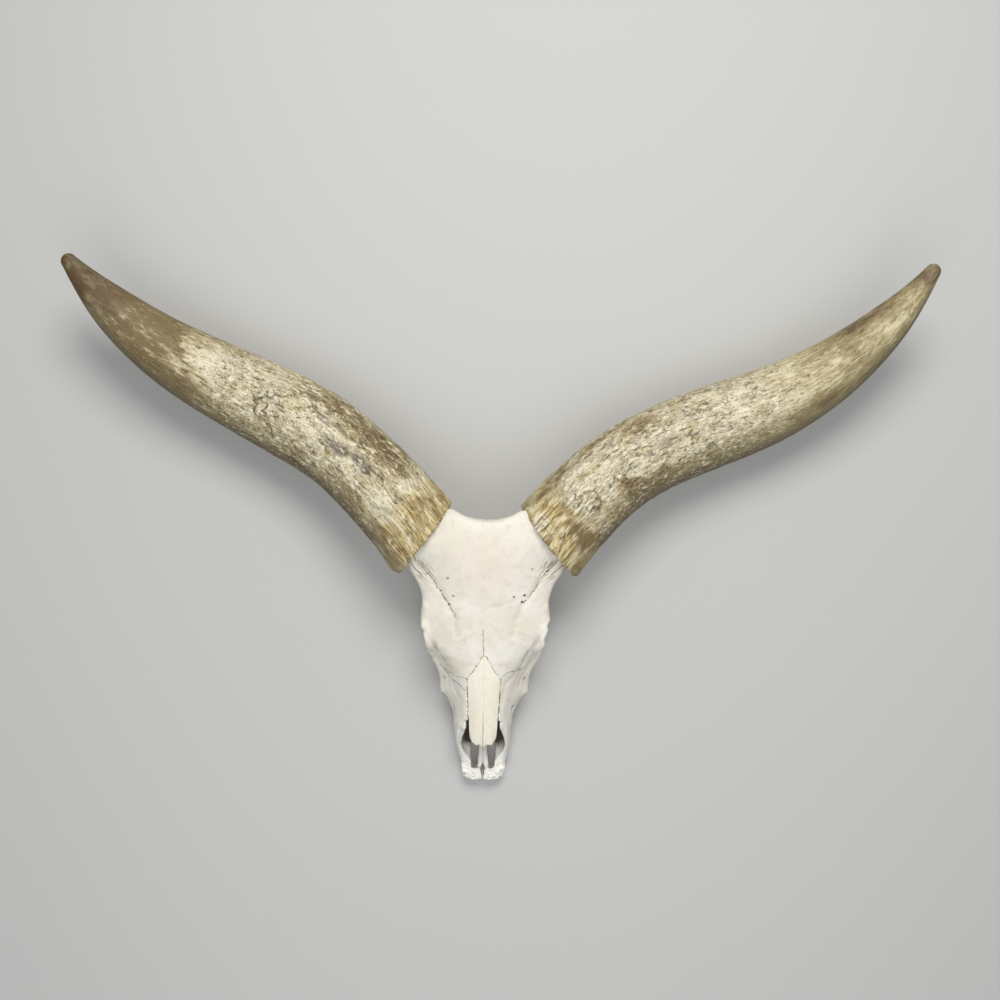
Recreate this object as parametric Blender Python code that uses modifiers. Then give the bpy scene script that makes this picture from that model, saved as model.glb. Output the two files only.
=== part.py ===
"""Skull of an Ankole-Watusi ox with both horn sheaths, life size, without its lower jaw.

It lies face up on its cheek teeth and on the low bends of its horns. The nose points to -Y and the
floor is z = 0. Left and right are the animal's own, so its left is +X. Station numbers are millimetres:
t is the distance forward from the poll, x the distance from the midline and z the height above the floor.
"""

import math

import bmesh
import bpy
import numpy as np
from mathutils import Matrix, Vector

MM = 0.001
GAP = 0.3 * MM  # between bones that touch

# The whole skull
SKULL_LENGTH = 461.0  # poll to the tip of the premaxilla, along the floor
VOXEL = 2.2 * MM  # grain at which the bones are fused
BONE_TRIANGLES = 8600

MELT_ROUNDS = 6  # of smoothing after the bones are fused, and after their openings are cut
EASE_ROUNDS = 5

# Roof of the forehead, one thick cambered plate: t, half width, top z, half thickness, camber at its edge,
# and how far its ends bow back towards the horns
FRONTAL = [
    (0.5, 58, 187, 12, 2, 20),
    (5, 64, 192.5, 18, 2, 20),
    (14, 76, 194.5, 24, 1, 19),
    (34, 94, 192.5, 28, 1, 12),
    (62, 114, 187, 23, 6, 4),
    (88, 120.5, 179, 17, 12, 0),
    (108, 112.5, 172.5, 14, 14, 0),
    (130, 106, 166, 13, 14, 0),
    (154, 107.5, 159.5, 12.5, 13, 0),
    (174, 104.5, 154, 12.5, 12, 0),
    (194, 95, 148.5, 12.5, 11, 0),
    (214, 80, 143.5, 11, 10, 0),
    (240, 54, 137, 9, 7, 0),
]

# Braincase under that roof: t, half width, z of its middle, half height
BRAINCASE = [
    (26, 66, 118, 52),
    (44, 76, 119, 57),
    (66, 74, 120, 56),
    (92, 66, 120, 52),
    (120, 56, 118, 48),
    (150, 46, 112, 46),
    (176, 42, 106, 44),
]

# Nuchal wall at the back, by height: z, half width, t of its middle, half depth, and how far its ends
# bow back
NUCHAL = [
    (52, 44, 46, 15, 0),
    (66, 74, 46, 19, 0),
    (88, 94, 48, 21, 0),
    (112, 93, 45, 22, 12),
    (136, 84, 38, 24, 26),
    (158, 74, 30, 24, 38),
    (180, 66, 23, 20, 34),
]

# Floor of the braincase, the basioccipital and sphenoid: t, half width, z of its middle, half height
BASE_BAR = [
    (24, 22, 60, 12),
    (50, 21, 57, 11),
    (84, 17, 61, 10),
    (120, 14, 68, 10),
    (156, 12, 74, 9),
]

# Face from between the orbits to the front of the cheek teeth: t, then (x, z) of the roof's edge, of the
# side wall, of the facial crest and of the tooth sockets, with the z of the roof and of the palate
FACE = [
    (150, 153, (46, 145), (48, 120), (46, 95), (38, 68), 62),
    (184, 147, (60, 137), (55, 114), (57, 84), (52, 48), 50),
    (208, 142.5, (74, 132), (85, 111), (88, 84), (64, 30), 42),
    (228, 138.5, (60, 129), (79, 106), (88, 79), (67, 22), 40),
    (250, 133, (43, 126), (65, 98), (79, 68), (67, 20), 39),
    (272, 127, (34, 120), (56, 93), (73.5, 60), (66, 19), 38),
    (295, 120, (30, 114), (50, 88), (71.5, 54), (63, 19), 37),
    (316, 113.5, (28, 108), (45, 83), (60, 51), (55, 19), 36),
    (336, 107, (27, 102), (43.5, 78), (51.5, 49), (47, 19), 34),
    (360, 99, (27, 94), (43.5, 72), (49, 47), (43, 18), 30),
]

# Front of the upper jaw, the premaxillae with the ends of the maxillae, in the same terms
SNOUT = [
    (345, 97, (31, 96), (43, 76), (50.5, 48), (44, 18), 32),
    (362, 83, (35, 83), (44.5, 68), (49, 45), (43, 17), 29),
    (380, 66, (38.5, 67), (44.5, 57), (48, 40), (42, 17), 26),
    (396, 53, (37, 54), (43, 47), (46.5, 34), (41, 16), 24),
    (412, 43, (32.5, 44), (39, 39), (43, 29), (37, 16), 22),
    (426, 36.5, (27, 37), (34.5, 34), (38.5, 26), (34, 15.5), 20),
    (442, 32.5, (28, 33), (35, 30), (38, 24), (34.5, 15), 18),
    (452, 29.5, (25, 29.5), (32, 27), (34.5, 22), (31, 15), 17),
    (459.5, 26, (15, 26), (20, 24.5), (22, 21.5), (19, 17), 18),
]

# Nasal bones: t, half width of the pair, z of the ridge, fall from ridge to outer edge
NASALS = [
    (227, 2.5, 143.0, 0.4),
    (240, 9, 139.2, 1.8),
    (254, 17.5, 135.0, 3.8),
    (268, 26.5, 130.6, 6.4),
    (300, 26, 120.6, 8),
    (335, 24.5, 109.2, 9),
    (360, 23.5, 101, 9.5),
    (377, 22.4, 95.2, 8.7),
    (387, 19, 92, 6.8),
]
NASAL_THICKNESS = 4.2
NASAL_ROOM_RISE = 12  # how far the room cut for them in the face is higher than they are
DRAWN_FROM = 362.0  # t from which their free ends draw back, all but a tip at the midline
DRAWN_RUN = 25.0
DRAWN_DEPTH = 5.5

# Rods of bone on either side: stations of t, x, z, half width, half height
RODS = {
    "condyle": [
        (32, 12, 50, 10, 9),
        (20, 24, 55, 14, 13),
        (15, 34, 66, 15, 15),
        (19, 36, 80, 14, 13),
        (28, 34, 92, 10, 9),
    ],
    "jugular_process": [(48, 64, 78, 9, 17), (50, 69, 54, 7, 14), (54, 67, 32, 5.5, 10), (58, 59, 9, 3, 4)],
    "muscular_spur": [(96, 46, 50, 8, 8), (110, 49, 36, 6, 6), (122, 52, 24, 2.5, 2.5)],
    "ear_tube": [(74, 62, 78, 14, 14), (74, 82, 81, 11, 11), (73, 97, 84, 9, 9)],
    "jaw_joint": [(100, 56, 80, 17, 10), (99, 76, 82, 16, 8), (98, 94, 85, 13, 8)],
    "cheek_arch": [
        (92, 92, 88, 6, 10),
        (112, 99, 86, 5, 9),
        (136, 103, 81, 5, 9),
        (160, 102, 75, 5.5, 10),
        (184, 97, 70, 7, 12),
    ],
    "bar_behind_orbit": [
        (140, 94, 144, 8, 12),
        (145, 100, 130, 6, 8),
        (149, 102, 106, 5.5, 7),
        (150, 101, 82, 8, 8),
    ],
    "cheek_crest": [
        (176, 98, 71, 7, 12),
        (204, 94, 72, 8, 15),
        (228, 89, 76, 8, 14),
        (248, 78, 70, 8, 12),
        (270, 71, 61, 7, 9),
        (296, 69, 55, 6, 7),
    ],
    "pterygoid_plate": [
        (132, 24, 62, 3, 14),
        (156, 27, 54, 3, 17),
        (182, 29, 50, 3.2, 16),
        (206, 32, 46, 4, 10),
    ],
    "temporal_ridge": [(60, 84, 96, 10, 9), (92, 84, 92, 8, 8)],
    "temple_flare": [
        (54, 106, 162, 9, 15),
        (67, 117, 158, 12, 16),
        (80, 116, 153, 11.5, 14),
        (96, 108.5, 149, 8.5, 10),
        (112, 101, 147, 7, 8),
    ],
}

# Rounded bones on either side: middle (t, x, z), radii along x, y and z, turns about x, y and z in degrees
EGGS = {
    "ear_capsule": ((92, 44, 52), (12, 19, 19), (0, 0, 0)),
    "neck_boss": ((20, 9, 128), (20, 8, 24), (0, 14, 0)),
    "facial_tuber": ((294, 70, 55), (6, 9, 7), (0, 0, 0)),
    "tear_capsule": ((206, 58, 66), (20, 24, 22), (0, 0, 0)),
}
# Stump under a horn: how far along it from the mouth, how far inwards and how much higher its middle is
# than the mouth's, half width, half height
PEDICLE = [
    (-84, 16, 14, 38, 30),
    (-56, 14, 13, 47, 40),
    (-26, 11, 9, 56, 50),
    (-6, 9, 6, 58.5, 59),
    (4, 7, 4, 60, 64),
    (38, 3, 0, 64, 67),
]
ORBIT_MIDDLE = (182, 95, 107)
ORBIT_RADII = (34, 29)  # of the rim's ring, lengthwise and upwards
ORBIT_RIM = 7.0  # half thickness of the rim
ORBIT_LEAN = (6.0, 4.0)  # how far the rim's front edge lies inwards and its top edge outwards

# Openings. The airway is open above, in front of the nasal bones: t, half width, z of its middle,
# half height
AIRWAY = [
    (292, 12, 84, 14),
    (312, 18, 78, 24),
    (334, 22, 72, 32),
    (350, 26, 70, 35),
    (366, 32.5, 63, 31),
    (382, 37, 61, 30),
    (397, 38, 66, 37),
    (412, 33.5, 76, 48),
    (426, 26, 84, 57),
    (438, 18, 87, 60),
]
CHOANA = ((168, 0, 50), (22, 44, 26), (0, 0, 0))
BRAIN_HOLE = [(-12, 0, 86, 19, 18), (30, 0, 86, 19, 18), (56, 0, 92, 17, 16)]
ORBIT = ((182, 92, 108), (37, 29, 27), (0, -8, 12))
HOLES = {
    "ear_hole": [(72, 112, 86, 4.8, 4.8), (74, 76, 80, 3.4, 3.4)],
    "cheek_hole": [(340, 60, 56, 6, 7), (322, 47, 66, 4.5, 5.5), (306, 40, 68, 3, 4)],
}
# Slots on either side: span of t, width in x, depth in z
SLOTS = {
    "palate_slot": ((366, 438.5), (8.5, 21.5), (-20, 70)),
    "nostril_corner": ((341.5, 404), (15, 28.5), (74, 130)),
}

# The premaxillae are parted from the maxillae by a sloping cut, and from each other by one that widens
# forwards
SUTURE_T = 361.0  # t of the sloping cut at SUTURE_Z
SUTURE_Z = 60.0
SUTURE_RUN = 0.5  # how much further forward that cut is for each unit down
MEDIAN_HALF_GAPS = (0.6, 1.7)  # at the sloping cut and past the tip
NO_GAPS = (-0.2, -0.2)  # the two cuts in the cranium overlap a little instead
BLOCK_FRONT = SKULL_LENGTH + 20  # reach of the block that stands for one premaxilla in these cuts
BLOCK_SIDE = 90.0
BLOCK_HEIGHTS = (-30.0, 150.0)

# Cheek teeth of one side, front to back: name, length along the row, width across it, lobes
TEETH = [
    ("P2", 16, 13, 1),
    ("P3", 19, 17, 1),
    ("P4", 19, 19, 1),
    ("M1", 25, 22, 2),
    ("M2", 27, 23, 2),
    ("M3", 27, 21, 2),
]
ROW_FRONT = 333.0  # t of the front of P2
ROW_X_FRONT = 43.0  # from the midline to the middle of P2
ROW_X_BACK = 57.5
TOOTH_RINGS = ((0.0, 0.95), (1.4, 1.0), (30.0, 0.9))  # z and share of its size, from the worn face up
TOOTH_GAP = 0.4
TOOTH_SQUARENESS = 0.55  # 0 for an oval outline, 1 for a box
LOBE_PINCH = 0.16  # how far the waist between two lobes draws in
P2_LEAN = -1.0  # turn of the front tooth's ends, inwards at the front

# Horns: where the sheath's mouth is, and how it runs. Headings are degrees in plan, outwards from the
# midline towards the back, and dips are degrees up from the floor, both at even shares of the length.
HORN_MOUTH = (105.8, 31.0, 129.0)  # x, t, z of the middle of the mouth
PEDICLE_HEADING = 41.0  # the way the stumps under the horns point in plan
MOUTH_RINGS = 6  # rings over which the way the mouth faces goes over into the horn's own heading and dip
HORN_SIDES = 28  # a multiple of four, so that a corner points down to the floor
HORN_RINGS = 37
TIP_TURNS = (30, 55, 78)  # degrees round the rounded tip of the last rings
DROOPS = (0.5, 1.6)  # least and most that the dips below the floor's level are scaled by
SOCKET_DEPTH = 34.0
SOCKET_WALL = 9.0
SOCKET_FLARE = 9.0  # depth over which the mouth narrows to the socket
SOCKET_LIP = 4.0  # thickness of the sheath at its lip
HORNS = {
    "left": {
        "length": 801.0,
        "mouth": (40.0, 6.5),  # heading and dip that the mouth faces, a little askew to the horn
        "heading": [53, 44.5, 31.7, 23.6, 21, 29.3, 38.8, 48.4, 59.7],
        "dip": [-4.6, -12.2, -13, -6, 2, 9, 14, 18, 20],
        "radius": [75, 71.4, 70.3, 71.3, 69, 62, 49.5, 34.4, 13.4],
    },
    "right": {
        "length": 764.0,
        "mouth": (37.0, 6.5),
        "heading": [51, 45.5, 39.5, 29.5, 25.6, 27, 34.2, 43.2, 54],
        "dip": [-4.6, -12.2, -13, -6, 2, 9, 14, 18, 20],
        "radius": [75, 72.5, 71.2, 73.2, 70.8, 63.6, 52.7, 37, 13.6],
    },
}

# Colour and roughness by the first word of a node's name
FINISHES = {
    "cranium": ((0.79, 0.76, 0.69), 0.75),
    "nasal": ((0.80, 0.75, 0.64), 0.7),
    "premaxilla": ((0.78, 0.74, 0.66), 0.75),
    "horn": ((0.42, 0.33, 0.19), 0.5),
}


def clear_scene():
    for item in list(bpy.data.objects):
        bpy.data.objects.remove(item)


def place(t, x, z):
    """The point t forward of the poll, x from the midline and z above the floor, in metres."""
    return Vector((x * MM, -t * MM, z * MM))


def through(values, at):
    """Smooth curve through rows of values at whole-number stations, read at the stations 'at'.

    Between two rows it is a cubic whose slope at a row is half the step from the row before to the one after.
    """
    rows = np.asarray(values, float)
    slope = np.gradient(rows, axis=0)
    at = np.clip(np.asarray(at, float), 0, len(rows) - 1)
    low = np.minimum(at.astype(int), len(rows) - 2)
    share = (at - low).reshape((-1,) + (1,) * (rows.ndim - 1))
    start, end = rows[low], rows[low + 1]
    rise = end - start
    bend = slope[low] + slope[low + 1] - 2 * rise
    lean = rise - slope[low] - bend
    return start + share * (slope[low] + share * (lean + bend * share))


def resampled(stations, steps):
    """The station table with 'steps' rows for each of its gaps."""
    count = (len(stations) - 1) * steps + 1
    return through(stations, np.linspace(0, len(stations) - 1, count))


def oval(sides, flatness):
    """Unit outline of a rounded box, counter-clockwise: an ellipse at flatness 2, squarer above that."""
    turn = np.linspace(0, 2 * math.pi, sides, endpoint=False)
    across, up = np.cos(turn), np.sin(turn)
    power = 2 / flatness
    return np.sign(across) * np.abs(across) ** power, np.sign(up) * np.abs(up) ** power


def added(name, mesh):
    made = bpy.data.objects.new(name, mesh)
    bpy.context.scene.collection.objects.link(made)
    return made


def loft(name, rings):
    """Closed solid over rings that all have the same number of points.

    Either end is closed by strips from each point to the one across from it, so an end may be bowed.
    """
    rings = np.asarray(rings, float)
    count, sides = rings.shape[:2]
    faces = []
    for ring in range(count - 1):
        for side in range(sides):
            nearer, further = ring * sides, (ring + 1) * sides
            beside = (side + 1) % sides
            faces.append((nearer + side, nearer + beside, further + beside, further + side))
    for first in (0, (count - 1) * sides):
        for side in range(sides // 2):
            strip = (side, side + 1, sides - side - 1, (sides - side) % sides)
            faces.append([first + point for point in dict.fromkeys(strip)])
    mesh = bpy.data.meshes.new(name)
    mesh.from_pydata(rings.reshape(-1, 3).tolist(), [], faces)
    solid = bmesh.new()
    solid.from_mesh(mesh)
    bmesh.ops.recalc_face_normals(solid, faces=solid.faces)
    solid.to_mesh(mesh)
    solid.free()
    return added(name, mesh)


def lengthwise(name, stations, flatness=3.0, sides=28):
    """Loft along the skull from stations of t, half width, z of the middle, half height."""
    across, up = oval(sides, flatness)
    rings = [
        [place(t, half * a, middle + height * u) for a, u in zip(across, up)]
        for t, half, middle, height in resampled(stations, 4)
    ]
    return loft(name, rings)


def sweep(name, stations, side=1, flatness=2.0, sides=16):
    """Rod along a smooth curve through stations of t, x, z, half width and half height."""
    points = resampled([place(t, side * x, z) for t, x, z, _, _ in stations], 5)
    sizes = resampled([station[3:] for station in stations], 5) * MM
    across, up = oval(sides, flatness)
    rings = []
    for point, ahead, (wide, high) in zip(points, np.gradient(points, axis=0), sizes):
        ahead = Vector(ahead).normalized()
        level = ahead.cross(Vector((0, 0, 1)))
        if level.length < 0.2:
            level = ahead.cross(Vector((0, -1, 0)))
        level.normalize()
        rise = level.cross(ahead)
        rings.append([Vector(point) + level * (wide * a) + rise * (high * u) for a, u in zip(across, up)])
    return loft(name, rings)


def egg(name, middle, radii, turn, side=1):
    """Ellipsoid at (t, x, z) with its three radii along x, y and z, turned by degrees about those axes."""
    t, x, z = middle
    ball = bmesh.new()
    bmesh.ops.create_icosphere(ball, subdivisions=3, radius=1)
    turned = Matrix.Identity(4)
    for axis, degrees in zip("XYZ", turn):
        turned = Matrix.Rotation(math.radians(degrees), 4, axis) @ turned
    flip = Matrix.Diagonal((side, 1, 1, 1))
    size = Matrix.Diagonal((*[radius * MM for radius in radii], 1))
    ball.transform(Matrix.Translation(place(t, side * x, z)) @ flip @ turned @ size)
    bmesh.ops.recalc_face_normals(ball, faces=ball.faces)
    mesh = bpy.data.meshes.new(name)
    ball.to_mesh(mesh)
    ball.free()
    return added(name, mesh)


def forehead():
    """The frontal bones as one cambered plate, widest under the horns and again over the orbits."""
    across, up = oval(44, 3.4)
    rings = []
    for t, half, top, thick, camber, bow in resampled(FRONTAL, 4):
        rings.append([
            place(t - bow * a * a, half * a, top - thick + thick * u - camber * a * a)
            for a, u in zip(across, up)
        ])
    return loft("forehead", rings)


def nuchal_wall():
    """Back of the skull, from the poll down to the neck joint."""
    across, deep = oval(32, 3.0)
    rings = [
        [place(t + depth * d - bow * a * a, half * a, z) for a, d in zip(across, deep)]
        for z, half, t, depth, bow in resampled(NUCHAL, 4)
    ]
    return loft("nuchal_wall", rings)


def face_rings(stations):
    """Rings of the face, each a smooth closed outline through its ten named points."""
    flat = []
    for t, roof, edge, wall, crest, socket, palate in stations:
        flat.append([t, 0, roof, *edge, *wall, *crest, *socket, 0, palate])
    rings = []
    for row in resampled(flat, 4):
        half = row[1:].reshape(-1, 2)
        outline = np.concatenate([half, (half[1:-1] * (-1, 1))[::-1], half[:1]])
        smooth = through(np.concatenate([outline[-2:-1], outline, outline[1:2]]), np.arange(1, 11, 0.25))
        rings.append([place(row[0], x, z) for x, z in smooth])
    return rings


def pedicle(side):
    """Bony stump that carries a horn. Past the mouth it goes on as a short core inside the sheath."""
    x, t, z = HORN_MOUTH
    heading = math.radians(PEDICLE_HEADING)
    out, back = math.cos(heading), math.sin(heading)
    stations = [
        (t - along * back - inwards * out, x + along * out - inwards * back, z + lift, wide, high)
        for along, inwards, lift, wide, high in PEDICLE
    ]
    return sweep("pedicle", stations, side, 2.2, 32)


def orbit_rim(side):
    """Raised ring round the eye socket. It faces outwards, a little forwards and a little up."""
    (t, x, z), (long, high) = ORBIT_MIDDLE, ORBIT_RADII
    inwards, outwards = ORBIT_LEAN
    stations = []
    for turn in np.linspace(0, 2 * math.pi, 13):
        ahead, up = math.cos(turn), math.sin(turn)
        out = x - inwards * ahead + outwards * up
        stations.append((t + long * ahead, out, z + high * up, ORBIT_RIM, ORBIT_RIM))
    return sweep("orbit_rim", stations, side, 2.0, 12)


def paired_bones(side):
    """The bones of one side of the head."""
    bones = [pedicle(side), orbit_rim(side)]
    bones += [sweep(name, stations, side) for name, stations in RODS.items()]
    bones += [egg(name, *measures, side) for name, measures in EGGS.items()]
    return bones


def tooth(side, t, x, size, lean):
    """One cheek tooth as a short column with one or two rounded lobes and a rib between them, worn flat."""
    length, width, lobes = size
    turn = np.linspace(0, 2 * math.pi, 10 + 6 * lobes, endpoint=False)
    ahead, out = np.cos(turn), np.sin(turn)
    box = np.maximum(np.abs(ahead), np.abs(out)) ** TOOTH_SQUARENESS
    waist = np.cos(lobes * math.pi / 2 * ahead) ** 2 * (lobes - 1)
    along = length / 2 * ahead / box
    across = width / 2 * out * (1 - LOBE_PINCH * waist) / box
    rings = []
    for z, share in TOOTH_RINGS:
        outline = np.column_stack([t + share * along, side * (x + share * across + lean * ahead)])
        rings.append([place(*spot, z) for spot in outline])
    return loft("tooth", rings)


def tooth_row(side):
    """P2 to M3 of one side, touching one another, in a row that spreads towards the back."""
    row, front = [], ROW_FRONT
    reach = sum(length for _, length, _, _ in TEETH)
    for _, length, width, lobes in TEETH:
        middle = front - length / 2
        share = (ROW_FRONT - middle) / reach
        x = ROW_X_FRONT + (ROW_X_BACK - ROW_X_FRONT) * math.sin(share * math.pi / 2)
        row.append(tooth(side, middle, x, (length - TOOTH_GAP, width, lobes), P2_LEAN * (1 - share)))
        front -= length
    return row


def joined(name, pieces):
    """One object with the meshes of all the pieces, which are removed."""
    whole = bmesh.new()
    for piece in pieces:
        whole.from_mesh(piece.data)
        bpy.data.objects.remove(piece)
    mesh = bpy.data.meshes.new(name)
    whole.to_mesh(mesh)
    whole.free()
    return added(name, mesh)


def applied(target):
    """The object with its modifiers made part of its mesh."""
    graph = bpy.context.evaluated_depsgraph_get()
    target.data = bpy.data.meshes.new_from_object(target.evaluated_get(graph))
    target.modifiers.clear()
    return target


def fused(target, voxel, rounds):
    """Melts overlapping shells into one skin and softens its creases."""
    melt = target.modifiers.new("Melt", "REMESH")
    melt.mode = "VOXEL"
    melt.voxel_size = voxel
    soften = target.modifiers.new("Soften", "SMOOTH")
    soften.factor = 0.5
    soften.iterations = rounds
    return applied(target)


def boolean(target, others, operation):
    """Cuts the other objects from the target, or joins them to it, and removes them."""
    helpers = bpy.data.collections.new("helpers")
    bpy.context.scene.collection.children.link(helpers)
    for other in others:
        bpy.context.scene.collection.objects.unlink(other)
        helpers.objects.link(other)
    cut = target.modifiers.new(operation.title(), "BOOLEAN")
    cut.operation = operation
    cut.operand_type = "COLLECTION"
    cut.collection = helpers
    cut.solver = "MANIFOLD"
    applied(target)
    for other in others:
        bpy.data.objects.remove(other)
    bpy.data.collections.remove(helpers)
    return target


def slot(name, span, width, depth, side):
    """Upright slot with round ends, over a span of t, a width in x and a depth in z."""
    ahead, out = oval(20, 2.0)
    t = sum(span) / 2 + (span[1] - span[0]) / 2 * ahead
    x = side * (sum(width) / 2 + (width[1] - width[0]) / 2 * np.sign(out) * np.abs(out) ** 0.6)
    return loft(name, [[place(*spot, z) for spot in zip(t, x)] for z in depth])


def bone_openings():
    """Cutters for the nose, for the openings at the back of the palate and skull, and for eyes and ears."""
    cutters = [
        lengthwise("airway", AIRWAY, 3.0, 32),
        egg("choana", *CHOANA),
        sweep("brain_hole", BRAIN_HOLE),
    ]
    for side in (1, -1):
        cutters.append(egg("orbit", *ORBIT, side))
        cutters += [sweep(name, stations, side) for name, stations in HOLES.items()]
        cutters += [slot(name, *measures, side) for name, measures in SLOTS.items()]
    return cutters


def decimated(target, triangles):
    """Collapses edges until about that many triangles are left."""
    mesh = bmesh.new()
    mesh.from_mesh(target.data)
    bmesh.ops.triangulate(mesh, faces=mesh.faces)
    mesh.to_mesh(target.data)
    mesh.free()
    thin = target.modifiers.new("Thin", "DECIMATE")
    thin.ratio = triangles / len(target.data.polygons)
    return applied(target)


def horn_line(name, side):
    """Centre line of a horn, the way each of its rings faces and its radii, at even steps along it.

    It starts in the mouth and follows its heading and dip. The dips below the floor's level are scaled so
    that the underside of the horn just meets the floor.
    """
    horn = HORNS[name]
    angles = through(
        np.radians(np.column_stack([horn["heading"], horn["dip"]])),
        np.linspace(0, len(horn["dip"]) - 1, HORN_RINGS),
    )
    radius = through(horn["radius"], np.linspace(0, len(horn["radius"]) - 1, HORN_RINGS))
    step = horn["length"] / (HORN_RINGS - 1)
    x, t, z = HORN_MOUTH

    def line(droop):
        heading, dip = angles[:, 0], np.where(angles[:, 1] < 0, angles[:, 1] * droop, angles[:, 1])
        level = np.cos(dip)
        ahead = np.column_stack([level * np.cos(heading), level * np.sin(heading), np.sin(dip)])
        points = np.cumsum(np.vstack([[x, -t, z], (ahead[:-1] + ahead[1:]) / 2 * step]), axis=0)
        return points, ahead, (points[:, 2] - radius * level).min()

    low, high = DROOPS
    for _ in range(40):
        droop = (low + high) / 2
        if line(droop)[2] > 0:
            low = droop
        else:
            high = droop
    points, ahead, _ = line(low)
    mouth, dip = np.radians(horn["mouth"])
    askew = np.clip(1 - np.arange(HORN_RINGS) / MOUTH_RINGS, 0, 1)[:, None]
    level = math.cos(dip)
    facing = np.array([level * math.cos(mouth), level * math.sin(mouth), math.sin(dip)])
    ahead = ahead * (1 - askew) + facing * askew
    return points * (side, 1, 1) * MM, ahead * (side, 1, 1), radius * MM


def horn_rings(name, side, grow=0.0):
    """Rings of a sheath from the floor of its socket, out round the lip of its mouth and along to the tip."""
    points, ahead, radius = horn_line(name, side)
    across, up = oval(HORN_SIDES, 2.0)

    def ring(point, direction, size):
        level = Vector(direction).cross(Vector((0, 0, 1))).normalized()
        rise = level.cross(Vector(direction))
        return [Vector(point) + (level * a + rise * u) * size for a, u in zip(across, up)]

    mouth, first = points[0], ahead[0]
    inwards = Vector(points[1] - mouth).normalized()
    bore = radius[0] - SOCKET_WALL * MM - grow
    lip = radius[0] - SOCKET_LIP * MM - grow
    rings = [
        ring(Vector(mouth) + inwards * (SOCKET_DEPTH * MM - grow), inwards, bore),
        ring(Vector(mouth) + inwards * SOCKET_FLARE * MM, first, bore),
        ring(mouth - first * grow, first, lip),
    ]
    rings.append(ring(mouth - first * grow, first, radius[0] + grow))
    rings += [ring(*row) for row in zip(points[1:], ahead[1:], radius[1:] + grow)]
    end, last, tip = points[-1], ahead[-1], radius[-1]
    for turn in np.radians(TIP_TURNS):
        rings.append(ring(end + last * tip * math.sin(turn), last, (tip + grow) * math.cos(turn)))
    return rings


def nasal_rings(side, grow=0.0, rise=0.0):
    """Rings of one nasal bone: an arched plate from the midline out, longest there at its free end."""
    share = np.linspace(0, 1, 7)
    inner = GAP / 2 / MM - grow
    rings = []
    for t, half, ridge, fall in resampled(NASALS, 3):
        x = inner + (half + grow - inner) * share
        top = ridge - fall * share ** 2 + rise
        under = top - rise - NASAL_THICKNESS - grow
        middle = (top + under) / 2
        drawn = DRAWN_DEPTH * max(0.0, (t - DRAWN_FROM) / DRAWN_RUN) * (1 - (1 - share) ** 4)
        across = np.concatenate([x[:1], x, x[-1:], x[::-1]])
        height = np.concatenate([middle[:1], top, middle[-1:], under[::-1]])
        ahead = t - np.concatenate([drawn[:1], drawn, drawn[-1:], drawn[::-1]])
        rings.append([place(*spot) for spot in zip(ahead, side * across, height)])
    return rings


def nasal_room(side):
    """Cutter for the room that one nasal bone takes up in the face."""
    return loft("nasal_room", nasal_rings(side, GAP / MM, NASAL_ROOM_RISE))


def front_block(back, middle_gaps, side):
    """Block over one premaxilla. Its back face slopes down forwards from the suture, moved by 'back'."""
    rings = []
    for z in BLOCK_HEIGHTS:
        behind = SUTURE_T + back + (SUTURE_Z - z) * SUTURE_RUN
        rings.append([
            place(behind, side * middle_gaps[0], z),
            place(behind, side * BLOCK_SIDE, z),
            place(BLOCK_FRONT, side * BLOCK_SIDE, z),
            place(BLOCK_FRONT, side * middle_gaps[1], z),
        ])
    return loft("front_block", rings)


def largest_piece(target):
    """Keeps only the biggest closed surface of a mesh."""
    mesh = bmesh.new()
    mesh.from_mesh(target.data)
    left, shells = set(mesh.verts), []
    while left:
        shell, edge = set(), [left.pop()]
        while edge:
            vert = edge.pop()
            shell.add(vert)
            for link in vert.link_edges:
                other = link.other_vert(vert)
                if other in left:
                    left.remove(other)
                    edge.append(other)
        shells.append(shell)
    shells.sort(key=len)
    bmesh.ops.delete(mesh, geom=[vert for shell in shells[:-1] for vert in shell], context="VERTS")
    mesh.to_mesh(target.data)
    mesh.free()
    return target


def fused_bone():
    """All the bone but the nasals, in one skin with its openings cut."""
    pieces = [
        forehead(),
        lengthwise("braincase", BRAINCASE, 2.6),
        nuchal_wall(),
        lengthwise("base_bar", BASE_BAR, 2.4),
        loft("face", face_rings(FACE)),
        loft("snout", face_rings(SNOUT)),
    ]
    pieces += paired_bones(1) + paired_bones(-1)
    whole = fused(joined("whole", pieces), VOXEL, MELT_ROUNDS)
    boolean(whole, bone_openings(), "DIFFERENCE")
    fused(whole, VOXEL, EASE_ROUNDS)
    return decimated(whole, BONE_TRIANGLES)


def skull():
    whole = fused_bone()
    nodes = []
    for side, name in ((1, "left"), (-1, "right")):
        front = added("premaxilla_" + name, whole.data.copy())
        boolean(front, [front_block(GAP / MM, MEDIAN_HALF_GAPS, side)], "INTERSECT")
        boolean(front, [nasal_room(side)], "DIFFERENCE")
        nodes.append(largest_piece(front))
        nodes.append(loft("nasal_" + name, nasal_rings(side)))
        nodes.append(loft("horn_" + name, horn_rings(name, side)))
    cutters = [front_block(0, NO_GAPS, side) for side in (1, -1)]
    for side, name in ((1, "left"), (-1, "right")):
        cutters.append(nasal_room(side))
        cutters.append(loft("horn_room", horn_rings(name, side, GAP)))
    for cutter in cutters:
        boolean(whole, [cutter], "DIFFERENCE")
    largest_piece(whole)
    whole.name = "cranium"
    boolean(whole, tooth_row(1) + tooth_row(-1), "UNION")
    nodes.append(largest_piece(whole))
    return nodes


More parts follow.
